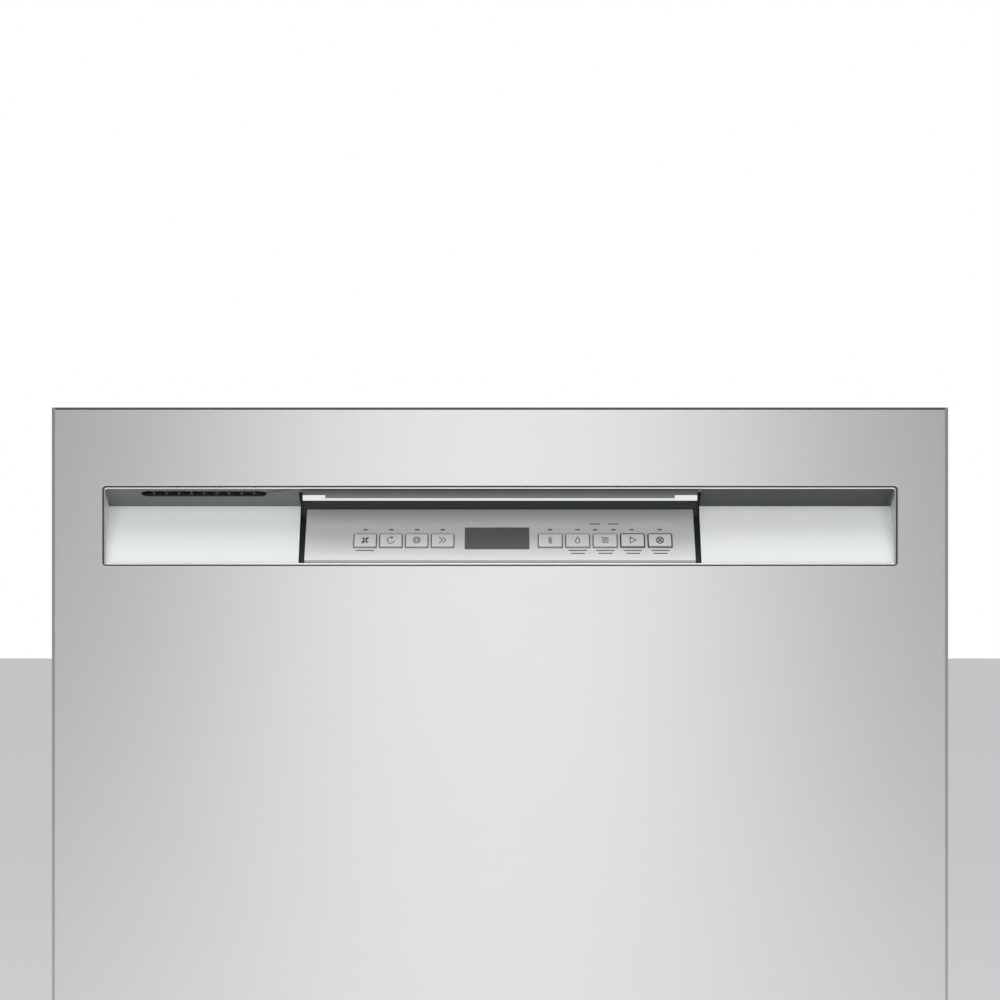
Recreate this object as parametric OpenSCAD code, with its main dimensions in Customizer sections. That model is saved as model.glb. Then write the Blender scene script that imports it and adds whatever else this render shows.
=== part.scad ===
// Built-in dishwasher with a pocket handle, drawn from the floor up.
// Origin: floor level, at the middle of the footprint. X to the right, Y to the back, Z up.

/* [Overall] */
// Width of the door, the widest piece
body_w = 606; // [560:1:730]
// Depth from the door's face to the back
body_d = 622; // [560:1:750]
// Height to the top of the mounting brackets
body_h = 871; // [835:1:1045]

/* [Door] */
// Thickness of the door, face to inner rim
door_t = 55; // [52:1:66]
// Sheet thickness of the door's two skins
sheet = 1.5; // [0.8:0.1:2]
// Height of the door's lower edge above the floor
door_bottom = 112; // [100:1:134]
// How far the mounting brackets stand above the door
door_drop = 3; // [2:1:14]
// Depth of the outer panel's side and top returns
panel_return = 48; // [40:1:50]
// Depth of the outer panel's bottom return
bottom_return = 26; // [12:1:30]
// Bend radius of the outer panel's side edges
bend_r = 2.5; // [2:0.5:5]
// Depth of the dish in the inner liner
dish_d = 16; // [8:1:20]
// Height of the wheel tracks on the inner liner
track_h = 12; // [4:1:14]

/* [Pocket] */
// Width of the pocket's mouth
pocket_w = 537; // [447:1:550]
// Height of the pocket's mouth
pocket_h = 54; // [50:1:66]
// Distance from the door's top edge to the pocket
pocket_drop = 53; // [45:1:64]
// Depth of the pocket at its ceiling
pocket_d = 34; // [28:1:40]
// How far the ceiling slopes down towards the back
ceiling_drop = 13; // [8:1:15]
// Depth of the pocket at its floor
floor_d = 6; // [4:1:8]
// Wall thickness of the pocket housing
pocket_wall = 2; // [1.5:0.1:3]
// Width of the middle cup with the controls
cup_w = 273; // [270:1:328]
// Depth of the cup
cup_d = 44.5; // [43.5:0.5:46]
// Finger room above the pocket's ceiling, inside the cup
finger_h = 17; // [12:1:18]
// Width of the grip bar
grip_w = 266.8; // [262:0.1:270]
// Length of the vent slot
vent_l = 85.4; // [60:0.1:100]
// Width of the vent slot along the slope
vent_w = 10; // [6:0.5:12]

/* [Controls] */
// Tilt of the fascia from level
fascia_tilt = 45; // [40:1:50]
// Thickness of the fascia
fascia_t = 3; // [2.5:0.1:4]
// Height of a button along the fascia
button_h = 13.2; // [11:0.1:15]
// Width of a button on the left
button_left_w = 16.5; // [14:0.1:17]
// Width of a button on the right
button_right_w = 17.5; // [15:0.1:18]
// How far a button stands above the fascia
button_proud = 0.8; // [0.8:0.1:1.5]
// Gap round a button
button_gap = 0.3; // [0.2:0.05:0.5]
// Width of the display window
display_w = 43.9; // [36:0.1:48]
// Height of the display window along the fascia
display_h = 21.4; // [18:0.1:24]

/* [Hinge] */
// Radius of the hinge pins
pin_r = 5; // [4:0.5:6]
// Radial clearance of a turning fit
running_gap = 0.05; // [0.02:0.01:0.1]
// Thickness of the hinge arms and brackets
arm_t = 3; // [2:0.5:3]
// Length of the hinge arms above the pivot
arm_l = 260; // [180:10:320]

/* [Tub] */
// Wall thickness of the tub
tub_wall = 2.5; // [1.5:0.1:3]
// Height of the tub's floor above the hinge pivot
floor_rise = 20; // [20:1:24]
// Depth of the basin in the tub's floor
basin_d = 25; // [20:1:28]
// Radius of the sump's mouth
sump_r = 60; // [55:1:64]
// Radius of the filter cup
filter_r = 34; // [28:1:38]

/* [Racks] */
// Wire thickness of the racks
wire = 4; // [3:0.5:5]
// Pitch of the rack wires
wire_pitch = 40; // [35:1:50]
// Height of the lower rack
lower_rack_h = 205; // [170:1:215]
// Height of the upper rack
upper_rack_h = 140; // [110:1:160]
// Radius of the lower rack's wheels
lower_wheel_r = 17; // [14:1:18]
// Radius of the upper rack's wheels
upper_wheel_r = 10.5; // [8:0.5:12]
// Height of the tines
tine_h = 88; // [60:1:95]

/* [Base] */
// Height of the base rails' underside above the floor
rail_z = 72; // [60:1:76]
// Radius of a levelling foot
foot_r = 18; // [15:1:22]
// Radius of a levelling leg's rod
leg_r = 5; // [4:0.5:6]
// Radius of the drain spigot
drain_r = 10; // [8:0.5:11]
// Radius of the water inlet
inlet_r = 9.5; // [8:0.5:10]
// Radius of the conduit hole in the junction box
conduit_r = 11.1; // [10:0.1:14]

/* [Hidden] */
$fn = 48;
eps = 0.5;

// Main planes
half_w = body_w / 2;
front = -body_d / 2;
back = body_d / 2;
door_top = body_h - door_drop;
liner_y = front + door_t;
liner_half = half_w - 19;
liner_z0 = door_bottom + 10;
liner_z1 = door_top - 4;
pivot_y = liner_y - 6;
pivot_z = door_bottom + 18;
arm_x = liner_half + 1;
bracket_x = arm_x + arm_t + 1.5;
tub_front = liner_y + 6;
flange_half = half_w - 6;
tub_half = half_w - 34;
tub_in = tub_half - tub_wall;
floor_z = pivot_z + floor_rise;
tub_top = door_top - 22;
pad_t = 6;
tub_back_y = back - pad_t;
back_in = tub_back_y - tub_wall;
gasket_w = 8;

// Pocket and fascia
pocket_half = pocket_w / 2;
pocket_z1 = door_top - pocket_drop;
pocket_z0 = pocket_z1 - pocket_h;
cup_half = cup_w / 2;
ceiling_angle = atan(ceiling_drop / pocket_d);
cup_top = pocket_z1 + finger_h;
fascia_run = 49.5;
fascia_low_u = 7;
fascia_low_z = pocket_z0 + 4;
fascia_half = cup_half - 2.5;
fascia_y = front + fascia_low_u + fascia_run / 2 * cos(fascia_tilt);
fascia_z = fascia_low_z + fascia_run / 2 * sin(fascia_tilt);
button_v = -6.4;
button_depth = 2.6;
stem_l = 2.8;
left_pitch = 17.6;
left_first = -91.9;
right_pitch = 18.7;
right_first = 34.2;
display_x = -2;
display_v = -3.6;
light_v = 4.8;
lights = concat([for (i = [0:3]) left_first + i * left_pitch],
    [right_first, right_first + right_pitch],
    [for (i = [0:2]) 65 + i * 12.5], [right_first + 4 * right_pitch]);
board_z = -11;
vent_x = -201;
vent_u = 12;

// Inside of the tub
arm_cy = 20;
sump_x = 45;
sump_y = -55;
basin_half = tub_in - 69.5;
basin_y0 = tub_front + 70;
basin_y1 = back_in - 82;
heater_r = min(basin_half, basin_y1 - arm_cy, arm_cy - basin_y0) - 50;
rack_front = tub_front + 28;
rack_back = back_in - 20;
lower_half = tub_in - 23.5;
lower_z0 = floor_z + 24;
lower_z1 = lower_z0 + lower_rack_h + 6;
lower_axle_z = floor_z + lower_wheel_r + 0.4;
lower_wheel_x = lower_half + 4;
lower_axle_front = tub_front + 62;
lower_axle_rear = back_in - 122;
upper_half = tub_in - 33;
upper_z0 = tub_top - 346;
upper_z1 = upper_z0 + upper_rack_h;
rail_cz = upper_z0 + 70;
rail_half_h = 13;
rail_web = tub_in - 13.5;
rail_flange = 7.5;
rail_front = tub_front + 25;
rail_back = back_in - 17;
upper_axle_front = -110;
upper_axle_rear = 180;
upper_axle_r = 2.5;
arm_pin_r = 6;
middle_z = upper_z0 - 30;
top_pin_z = tub_top - 30;
basket_x0 = lower_half - 108;
basket_x1 = lower_half - 12;
basket_z0 = lower_z0 + wire + 2;
basket_h = 120;
basket_y0 = rack_front + 20;
basket_y1 = basket_y0 + 290;
fold_y = 62;
fold_z = lower_z0 + wire + 7;
tine_x0 = -lower_half + 45;
tine_x1 = basket_x0 - 30;
dispenser_x0 = -125;
dispenser_x1 = 75;
dispenser_z0 = 400;
dispenser_z1 = 500;
dispenser_face = liner_y - dish_d + 9;
cup_x0 = -108;
cup_x1 = -42;
cap_x = 44;
cap_r = 18;
float_x = -tub_in + 46;
float_y = tub_front + 32;

// Base
rail_x0 = tub_half - 32;
rail_top = rail_z + 28;
leg_x = tub_half - 16;
leg_front = pivot_y + 62;
leg_rear = back - 31;
toe_y = pivot_y + 26;
spring_x = rail_x0 - 16;
spring_z = rail_top + 12;
valve_x = -rail_x0 + 42;
valve_y = leg_front + 15;
hose_z = floor_z - 38;
hose_r = 7;
riser_y = basin_y1 + 49.5;
spigot_x = sump_x + sump_r + 32;
spigot_z = floor_z - 58;

// ---- Helpers ----
module box(x0, x1, y0, y1, z0, z1)
    translate([x0, y0, z0]) cube([x1 - x0, y1 - y0, z1 - z0]);

module both_sides() {
    children();
    mirror([1, 0, 0]) children();
}

// Prism along X of an outline given as [y, z]
module slab(x0, x1, outline)
    translate([x0, 0, 0]) rotate([90, 0, 90]) linear_extrude(x1 - x0) polygon(outline);

module rod_x(x0, x1, y, z, r) translate([x0, y, z]) rotate([0, 90, 0]) cylinder(r = r, h = x1 - x0);
module rod_y(y0, y1, x, z, r) translate([x, y0, z]) rotate([-90, 0, 0]) cylinder(r = r, h = y1 - y0);
module rod_z(z0, z1, x, y, r) translate([x, y, z0]) cylinder(r = r, h = z1 - z0);

// Square wires of the racks, given by their middle line
module wire_x(x0, x1, y, z) box(x0, x1, y - wire / 2, y + wire / 2, z - wire / 2, z + wire / 2);
module wire_y(y0, y1, x, z) box(x - wire / 2, x + wire / 2, y0, y1, z - wire / 2, z + wire / 2);
module wire_z(z0, z1, x, y) box(x - wire / 2, x + wire / 2, y - wire / 2, y + wire / 2, z0, z1);

function arc(cx, cy, r, a0, a1, n = 5) =
    [for (i = [0:n]) [cx + r * cos(a0 + (a1 - a0) * i / n), cy + r * sin(a0 + (a1 - a0) * i / n)]];

// ---- Door ----
module door_panel() color("#c4c6c6") difference() {
    translate([0, 0, door_bottom]) linear_extrude(door_top - door_bottom) polygon(concat(
        arc(-half_w + bend_r, front + bend_r, bend_r, 180, 270),
        arc(half_w - bend_r, front + bend_r, bend_r, 270, 360),
        [[half_w, front + panel_return], [-half_w, front + panel_return]]));
    box(-half_w + sheet, half_w - sheet, front + sheet, back, door_bottom + sheet, door_top - sheet);
    box(-half_w + sheet, half_w - sheet, front + bottom_return, back, door_bottom - eps, door_top - sheet);
    box(-pocket_half, pocket_half, front - eps, front + sheet + eps, pocket_z0, pocket_z1);
}

function side_outline() = [[front - 1, pocket_z0], [front - 1, pocket_z1 + ceiling_drop / pocket_d],
    [front + pocket_d, pocket_z1 - ceiling_drop], [front + floor_d, pocket_z0 + 2], [front, pocket_z0]];

function side_shell() = [[front + sheet, pocket_z0 - pocket_wall], [front + sheet, pocket_z1 + pocket_wall],
    [front + pocket_d + pocket_wall, pocket_z1 - ceiling_drop + pocket_wall],
    [front + pocket_d + pocket_wall, pocket_z1 - ceiling_drop - pocket_wall],
    [front + floor_d + 2 * pocket_wall, pocket_z0 - pocket_wall]];

function cup_outline() = [[front - 1, pocket_z0], [front - 1, pocket_z1], [front + 11, pocket_z1 - 4],
    [front + 13, cup_top], [front + cup_d, cup_top], [front + cup_d, fascia_top_z() - 4],
    [front + fascia_low_u + 2, fascia_low_z - 5.5], [front + 3, pocket_z0]];

function fascia_top_z() = fascia_low_z + fascia_run * sin(fascia_tilt);

function cup_shell() = [[front + sheet, pocket_z0 - pocket_wall], [front + sheet, pocket_z1 + pocket_wall],
    [front + 10, pocket_z1 + pocket_wall], [front + 11, cup_top + pocket_wall],
    [front + cup_d + pocket_wall, cup_top + pocket_wall],
    [front + cup_d + pocket_wall, fascia_top_z() - 5], [front + fascia_low_u + 6, pocket_z0 - pocket_wall]];

module on_fascia() translate([0, fascia_y, fascia_z]) rotate([fascia_tilt, 0, 0]) children();
module on_ceiling() translate([vent_x, front + vent_u, pocket_z1 - vent_u * tan(ceiling_angle)])
    rotate([-ceiling_angle, 0, 0]) children();

// Slot with round ends, centred, cut along Z
module slot(l, w, z0, z1) {
    translate([0, 0, (z0 + z1) / 2]) cube([l - w, w, z1 - z0], center = true);
    for (s = [-1, 1]) translate([s * (l - w) / 2, 0, z0]) cylinder(r = w / 2, h = z1 - z0);
}

module pocket_housing() color("#dcdedd") difference() {
    union() {
        slab(-pocket_half - pocket_wall, pocket_half + pocket_wall, side_shell());
        slab(-cup_half - pocket_wall, cup_half + pocket_wall, cup_shell());
        box(-pocket_half - 8, pocket_half + 8, front + sheet, front + sheet + 2, pocket_z0 - 8, pocket_z1 + 8);
    }
    slab(-pocket_half, pocket_half, side_outline());
    slab(-cup_half, cup_half, cup_outline());
    on_fascia() translate([0, 0, -14]) cube([2 * fascia_half - 16, 42, 24], center = true);
    on_ceiling() slot(vent_l, vent_w, -4, 6);
}

module vent_grille() color("#1c1e1e") on_ceiling() difference() {
    slot(vent_l - 0.4, vent_w - 0.4, 0.4, 1.9);
    for (i = [-4.5:1:4.5]) translate([i * 8.5, 0, 1]) cube([6.5, vent_w - 2.4, 4], center = true);
}

module control_fascia() color("#cfd1d1") on_fascia() difference() {
    translate([0, 0, -fascia_t / 2]) cube([2 * fascia_half, fascia_run, fascia_t], center = true);
    for (i = [0:3]) button_hole(left_first + i * left_pitch, button_left_w);
    for (i = [0:4]) button_hole(right_first + i * right_pitch, button_right_w);
    translate([display_x, display_v, 0])
        cube([display_w + 0.2, display_h + 0.2, 3 * fascia_t], center = true);
    for (x = lights) translate([x, light_v, 0]) cube([3.2, 1.6, 3 * fascia_t], center = true);
}

module button_hole(x, w) translate([x, button_v, 0])
    cube([w - 1 + 2 * button_gap, button_h + 2 * button_gap, 3 * fascia_t], center = true);

module grip_bar() color("#d9dbdb") {
    slab(-grip_w / 2, grip_w / 2, [[front + 2, pocket_z1 - 10], [front + 4.5, pocket_z1 - 10],
        [front + 8.5, pocket_z1 - 4], [front + 8.5, pocket_z1 - 3.4], [front + 5.5, pocket_z1 - 2.4],
        [front + 2, pocket_z1 - 7.8]]);
    both_sides() slab(grip_w / 2 - 15.3, grip_w / 2, [[front + 1.6, pocket_z1 - 10],
        [front + 1.6, pocket_z1 - 5.6], [front + 6, pocket_z1 - 3.4], [front + 6, pocket_z1 - 10]]);
}

module display_window() color("#4a4d4e") on_fascia() translate([display_x, display_v, -0.8])
    cube([display_w, display_h, 1.6], center = true);

module indicator_lights() color("#8d9394") on_fascia() for (x = lights)
    translate([x, light_v, -1]) cube([3, 1.4, 2], center = true);

module control_board() color("#2c6b45") on_fascia() {
    translate([0, 0, board_z]) cube([2 * fascia_half - 24, 36, 1.6], center = true);
    for (i = [0:3]) switch_block(left_first + i * left_pitch);
    for (i = [0:4]) switch_block(right_first + i * right_pitch);
}

module switch_block(x) translate([x, button_v, board_z + 2]) cube([6, 6, 3], center = true);

module button(x, w) color("#d4d6d6") on_fascia() translate([x, button_v, 0]) {
    translate([0, 0, (button_proud - button_depth) / 2])
        cube([w - 1, button_h, button_proud + button_depth], center = true);
    translate([0, 0, -button_depth - stem_l]) cylinder(r = 2, h = stem_l + eps);
}

module button_boost() button(left_first, button_left_w);
module button_auto() button(left_first + left_pitch, button_left_w);
module button_normal() button(left_first + 2 * left_pitch, button_left_w);
module button_quick() button(left_first + 3 * left_pitch, button_left_w);
module button_high_temp() button(right_first, button_right_w);
module button_sanitize() button(right_first + right_pitch, button_right_w);
module button_heated_dry() button(right_first + 2 * right_pitch, button_right_w);
module button_start() button(right_first + 3 * right_pitch, button_right_w);
module button_cancel() button(right_first + 4 * right_pitch, button_right_w);

dish_half = liner_half - 49;
dish_z0 = liner_z0 + 43;
dish_z1 = pocket_z0 - 25;

module door_liner() color("#c9cbcb") difference() {
    union() {
        difference() {
            box(-liner_half, liner_half, liner_y - 20, liner_y, liner_z0, liner_z1);
            box(-liner_half + sheet, liner_half - sheet, liner_y - 21, liner_y - sheet,
                liner_z0 + sheet, liner_z1 - sheet);
        }
        box(-dish_half - sheet, dish_half + sheet, liner_y - dish_d - sheet, liner_y - sheet / 2,
            dish_z0 - sheet, dish_z1 + sheet);
        both_sides() box(lower_wheel_x - 4, lower_wheel_x + 4, liner_y - sheet / 2, liner_y + track_h,
            floor_z + 10, dish_z0 + 440);
    }
    box(-dish_half, dish_half, liner_y - dish_d, liner_y + track_h + 1, dish_z0, dish_z1);
    box(-12, 12, liner_y - 8, liner_y + 1, liner_z1 - 12, liner_z1 + 1);
    box(dispenser_x0, dispenser_x1, liner_y - 30, liner_y, dispenser_z0, dispenser_z1);
}

module door_gasket() color("#3a3c3d")
    box(-tub_in + 6, tub_in - 6, liner_y, tub_front - 0.6, pivot_z + 11, pivot_z + 18);

module door_latch() color("#2b2d2e") difference() {
    box(-22, 22, front + 14, liner_y - 9, liner_z1 - 13.5, liner_z1 - sheet);
    box(-10, 10, front + 34, liner_y, liner_z1 - 10, liner_z1 - 3);
}

module dispenser_body() color("#b9bcbd") {
    difference() {
        box(dispenser_x0, dispenser_x1, liner_y - dish_d - 14, dispenser_face, dispenser_z0, dispenser_z1);
        box(cup_x0 + 3, cup_x1 - 3, liner_y - dish_d - 11, back, dispenser_z0 + 23, dispenser_z1 - 23);
        rod_y(dispenser_face - 8, back, cap_x, (dispenser_z0 + dispenser_z1) / 2, cap_r + 0.4);
    }
    for (z = [dispenser_z0 + 13, dispenser_z1 - 16])
        box(cup_x0, cup_x1 + 62, dispenser_face, dispenser_face + 4, z, z + 3);
}

module dispenser_lid() color("#8f9496") difference() {
    box(cup_x0, cup_x1, dispenser_face + 0.4, dispenser_face + 3.4, dispenser_z0 + 16.4, dispenser_z1 - 16.4);
    box(cup_x0 + 6, cup_x0 + 12, dispenser_face + 1.9, back, dispenser_z0 + 30, dispenser_z1 - 30);
}

module rinse_cap() color("#5c6264") union() {
    rod_y(dispenser_face - 7.5, dispenser_face - 1, cap_x, (dispenser_z0 + dispenser_z1) / 2, cap_r);
    box(cap_x - 13, cap_x + 13, dispenser_face - 2, dispenser_face + 3,
        (dispenser_z0 + dispenser_z1) / 2 - 3, (dispenser_z0 + dispenser_z1) / 2 + 3);
}

module hinge_arms() color("#9a9ea0") both_sides() difference() {
    union() {
        box(arm_x, arm_x + arm_t, pivot_y - 20, pivot_y - 2, pivot_z, pivot_z + arm_l);
        rod_x(arm_x, arm_x + arm_t, pivot_y, pivot_z, 10);
    }
    rod_x(arm_x - eps, arm_x + arm_t + eps, pivot_y, pivot_z, pin_r + running_gap);
}

// ---- Tub ----
module tub_wrapper() color("#c2c5c6") difference() {
    union() {
        box(-tub_half, tub_half, tub_front, back_in, floor_z - tub_wall, tub_top);
        box(-flange_half, flange_half, tub_front, tub_front + tub_wall, floor_z - tub_wall, liner_z1);
    }
    box(-tub_in, tub_in, tub_front - eps, back, floor_z - tub_wall - eps, tub_top - tub_wall);
}

module tub_back() color("#c2c5c6")
    box(-tub_half, tub_half, back_in, tub_back_y, floor_z - tub_wall, tub_top);

module tub_floor() color("#b7babb") difference() {
    union() {
        box(-tub_in, tub_in, tub_front, back_in, floor_z - tub_wall, floor_z);
        box(-basin_half - tub_wall, basin_half + tub_wall, basin_y0 - tub_wall, basin_y1 + tub_wall,
            floor_z - basin_d - tub_wall, floor_z - tub_wall / 2);
        box(-flange_half, flange_half, tub_front, tub_front + tub_wall, floor_z - 12, floor_z - tub_wall);
    }
    box(-basin_half, basin_half, basin_y0, basin_y1, floor_z - basin_d, floor_z + 1);
    rod_z(floor_z - 60, floor_z, sump_x, sump_y, sump_r);
    rod_z(floor_z - 60, floor_z, 0, arm_cy, 14.2);
    rod_z(floor_z - 60, floor_z + 1, float_x, float_y, 4.4);
}

module tub_gasket() color("#4b4d4e") {
    both_sides() box(tub_half, tub_half + gasket_w, liner_y + 0.4, tub_front, floor_z, tub_top + gasket_w);
    box(-tub_half, tub_half, liner_y + 0.4, tub_front, tub_top, tub_top + gasket_w);
}

module damping_pads() color("#3b3a38") {
    both_sides() box(tub_half, tub_half + 8, tub_front + 12, back_in, floor_z, tub_top - 8);
    box(-tub_half + 8, tub_half - 8, tub_front + 52, back_in, tub_top, tub_top + pad_t);
    box(-tub_half + 12, tub_half - 12, tub_back_y, back, floor_z, tub_top - 8);
}

module strike_hook() color("#8e9294") {
    box(-8, 8, tub_front - 20, tub_front, liner_z1 - 7.5, liner_z1 - 5.5);
    box(-8, 8, tub_front - 20, tub_front - 17, liner_z1 - 8.6, liner_z1 - 7.5);
}

module mounting_brackets() color("#8e9294") both_sides() difference() {
    union() {
        box(185, 215, tub_front + tub_wall, tub_front + tub_wall + 2, tub_top + 4, body_h);
        box(185, 215, tub_front + tub_wall, tub_front + 42, body_h - 2, body_h);
    }
    rod_z(body_h - 4, body_h + 1, 200, tub_front + 26, 2.6);
}

module feed_tube() color("#9da2a4") union() {
    box(-14, 14, back_in - 12, back_in, floor_z, tub_top - tub_wall);
    box(-10, 10, arm_cy - 12, back_in - 6, tub_top - tub_wall - 11, tub_top - tub_wall);
    rod_z(top_pin_z, tub_top - tub_wall - 10, 0, arm_cy, arm_pin_r);
    rod_y(back_in - 15, back_in - 11, 0, upper_z0 - 9, 9);
}

module heater_element() color("#5b5753") {
    translate([0, arm_cy, floor_z - basin_d + 9]) rotate_extrude()
        translate([heater_r, 0]) circle(r = 4);
    for (a = [45:90:315]) translate([0, arm_cy, 0]) rotate([0, 0, a])
        rod_z(floor_z - basin_d, floor_z - basin_d + 6.5, heater_r, 0, 2.5);
}

module sump() color("#6a6e70") {
    difference() {
        union() {
            rod_z(floor_z - 86, floor_z - basin_d - tub_wall, sump_x, sump_y, sump_r);
            rod_z(floor_z - basin_d - tub_wall - 3, floor_z - basin_d - tub_wall, sump_x, sump_y, sump_r + 8);
        }
        rod_z(floor_z - 83, floor_z, sump_x, sump_y, sump_r - 3);
    }
    difference() {
        union() {
            rod_z(floor_z - 50, floor_z, 0, arm_cy, 14);
            translate([sump_x, sump_y, floor_z - 50]) rotate([0, 0, atan2(arm_cy - sump_y, -sump_x)])
                translate([sump_r - 1, -9, 0]) cube([norm([sump_x, sump_y - arm_cy]) - sump_r + 1, 18, 14]);
            rod_z(floor_z - eps, floor_z + 16, 0, arm_cy, arm_pin_r);
        }
        rod_z(floor_z - 60, floor_z + 1, sump_x, sump_y, sump_r + 0.2);
    }
}

module filter_plate() color("#8a8f91") difference() {
    rod_z(floor_z - basin_d - 6, floor_z - basin_d - 3, sump_x, sump_y, sump_r - 3.2);
    rod_z(floor_z - 60, floor_z, sump_x, sump_y, filter_r + 0.3);
}

module filter_cup() color("#767b7d") union() {
    difference() {
        rod_z(floor_z - 78, floor_z - basin_d + 2, sump_x, sump_y, filter_r);
        rod_z(floor_z - 76, floor_z, sump_x, sump_y, filter_r - 2);
    }
    box(sump_x - filter_r + 1, sump_x + filter_r - 1, sump_y - 2, sump_y + 2,
        floor_z - basin_d - 14, floor_z - basin_d + 4);
}

module wash_pump() color("#55595b") {
    rod_x(sump_x - sump_r - 100, sump_x - sump_r - 26, sump_y, floor_z - 76, 38);
    rod_x(sump_x - sump_r - 26, sump_x - sump_r - 9, sump_y, floor_z - 76, 30);
}

module drain_pump() color("#63686a") union() {
    rod_x(sump_x + sump_r + 9, sump_x + sump_r + 54, sump_y, floor_z - 66, 22);
    rod_y(sump_y, sump_y + 24, spigot_x, spigot_z, drain_r + 2.5);
    rod_y(sump_y, sump_y + 52, spigot_x, spigot_z, drain_r);
}

module float_dome() color("#e3e5e4") union() {
    rod_z(floor_z + 0.5, floor_z + 6, float_x, float_y, 16);
    rod_z(floor_z - 12, floor_z + 1, float_x, float_y, 4);
}

module spray_arm(z, l, w) difference() {
    union() {
        rod_z(z, z + 11, 0, arm_cy, 20);
        box(-l + w / 2, l - w / 2, arm_cy - w / 2, arm_cy + w / 2, z + 1, z + 9);
        for (s = [-1, 1]) rod_z(z + 1, z + 9, s * (l - w / 2), arm_cy, w / 2);
    }
    rod_z(z - 1, z + 20, 0, arm_cy, arm_pin_r + running_gap);
    for (s = [-1, 1], f = [0.45, 0.65, 0.85]) rod_z(z + 6, z + 20, s * f * l, arm_cy + s * w / 5, 1.5);
}

module lower_spray_arm() color("#a7acae") spray_arm(floor_z + 0.6, basin_half + 12, 30);
module middle_spray_arm() color("#a7acae") spray_arm(middle_z, basin_half + 5, 28);
module top_spray_arm() color("#a7acae") spray_arm(top_pin_z + 0.4, 120, 24);

// ---- Racks ----
// Open basket of wires: rim, middle hoops, uprights and a floor grid
module basket_frame(half, y0, y1, z0, z1) {
    for (z = [z0 + wire / 2, (z0 + z1) / 2, z1 - wire / 2]) {
        for (y = [y0 + wire / 2, y1 - wire / 2]) wire_x(-half, half, y, z);
        both_sides() wire_y(y0, y1, half - wire / 2, z);
    }
    nx = ceil((2 * half - wire) / wire_pitch);
    ny = ceil((y1 - y0 - wire) / wire_pitch);
    for (i = [0:nx]) {
        x = -half + wire / 2 + i * (2 * half - wire) / nx;
        wire_y(y0, y1, x, z0 + wire / 2);
        for (y = [y0 + wire / 2, y1 - wire / 2]) wire_z(z0, z1, x, y);
    }
    for (i = [0:ny]) {
        y = y0 + wire / 2 + i * (y1 - y0 - wire) / ny;
        both_sides() wire_z(z0, z1, half - wire / 2, y);
        if (i % 3 == 0) wire_x(-half, half, y, z0 + wire / 2);
    }
}

module tine_row(y, x0, x1, z, h) {
    wire_x(x0, x1, y, z);
    n = floor((x1 - x0) / wire_pitch);
    for (i = [0:n]) wire_z(z, z + h, x0 + 4 + i * (x1 - x0 - 8) / n, y);
}

module lower_rack() color("#a9adaf") difference() {
    union() {
        basket_frame(lower_half, rack_front, rack_back, lower_z0, lower_z1);
        for (y = [-150, -84, -18, 190])
            tine_row(y, -lower_half + 1, tine_x1, lower_z0 + wire * 1.5 - eps, tine_h);
        wire_x(-lower_half, lower_half, fold_y, lower_z0 + wire / 2);
        for (x = [tine_x0 - 8, tine_x1 + 8]) box(x - 4, x + 4, fold_y - 6, fold_y + 6,
            lower_z0 + 1, fold_z + 5);
        both_sides() for (y = [lower_axle_front, lower_axle_rear]) {
            box(lower_half - wire, lower_half, y - 12, y + 12, lower_axle_z - 5, lower_z0 + wire);
            rod_x(lower_half - eps, lower_wheel_x + 11, y, lower_axle_z, 3);
        }
    }
    rod_x(tine_x0 - 20, tine_x1 + 20, fold_y, fold_z, 2.5 + running_gap);
}

module fold_tines() color("#a9adaf") union() {
    rod_x(tine_x0 - 11, tine_x1 + 11, fold_y, fold_z, 2.5);
    for (i = [0:7]) wire_z(fold_z, fold_z + tine_h, tine_x0 + 6 + i * (tine_x1 - tine_x0 - 12) / 7, fold_y);
}

module wheel_pair(x, w, y, z, r, hole) both_sides() difference() {
    rod_x(x, x + w, y, z, r);
    rod_x(x - eps, x + w + eps, y, z, hole);
}

module lower_wheels_front() color("#7d8183")
    wheel_pair(lower_wheel_x, 10, lower_axle_front, lower_axle_z, lower_wheel_r, 3 + running_gap);
module lower_wheels_rear() color("#7d8183")
    wheel_pair(lower_wheel_x, 10, lower_axle_rear, lower_axle_z, lower_wheel_r, 3 + running_gap);

module silverware_basket() color("#8b9092") union() {
    difference() {
        box(basket_x0, basket_x1, basket_y0, basket_y1, basket_z0, basket_z0 + basket_h);
        for (i = [0:4]) box(basket_x0 + 3, basket_x1 - 3, basket_y0 + 3 + i * 57.4,
            basket_y0 + 57.4 + i * 57.4, basket_z0 + 3, basket_z0 + basket_h + 1);
        for (i = [0:4], k = [0:2]) box(basket_x0 - 1, basket_x1 + 1, basket_y0 + 12 + i * 57.4,
            basket_y0 + 48 + i * 57.4, basket_z0 + 14 + k * 34, basket_z0 + 38 + k * 34);
    }
    for (y = [basket_y0 + 85, basket_y0 + 205]) box((basket_x0 + basket_x1) / 2 - 4,
        (basket_x0 + basket_x1) / 2 + 4, y - 5, y + 5, basket_z0 + 1, basket_z0 + basket_h + 60);
    box((basket_x0 + basket_x1) / 2 - 6, (basket_x0 + basket_x1) / 2 + 6, basket_y0 + 80, basket_y0 + 210,
        basket_z0 + basket_h + 50, basket_z0 + basket_h + 60);
}

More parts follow.
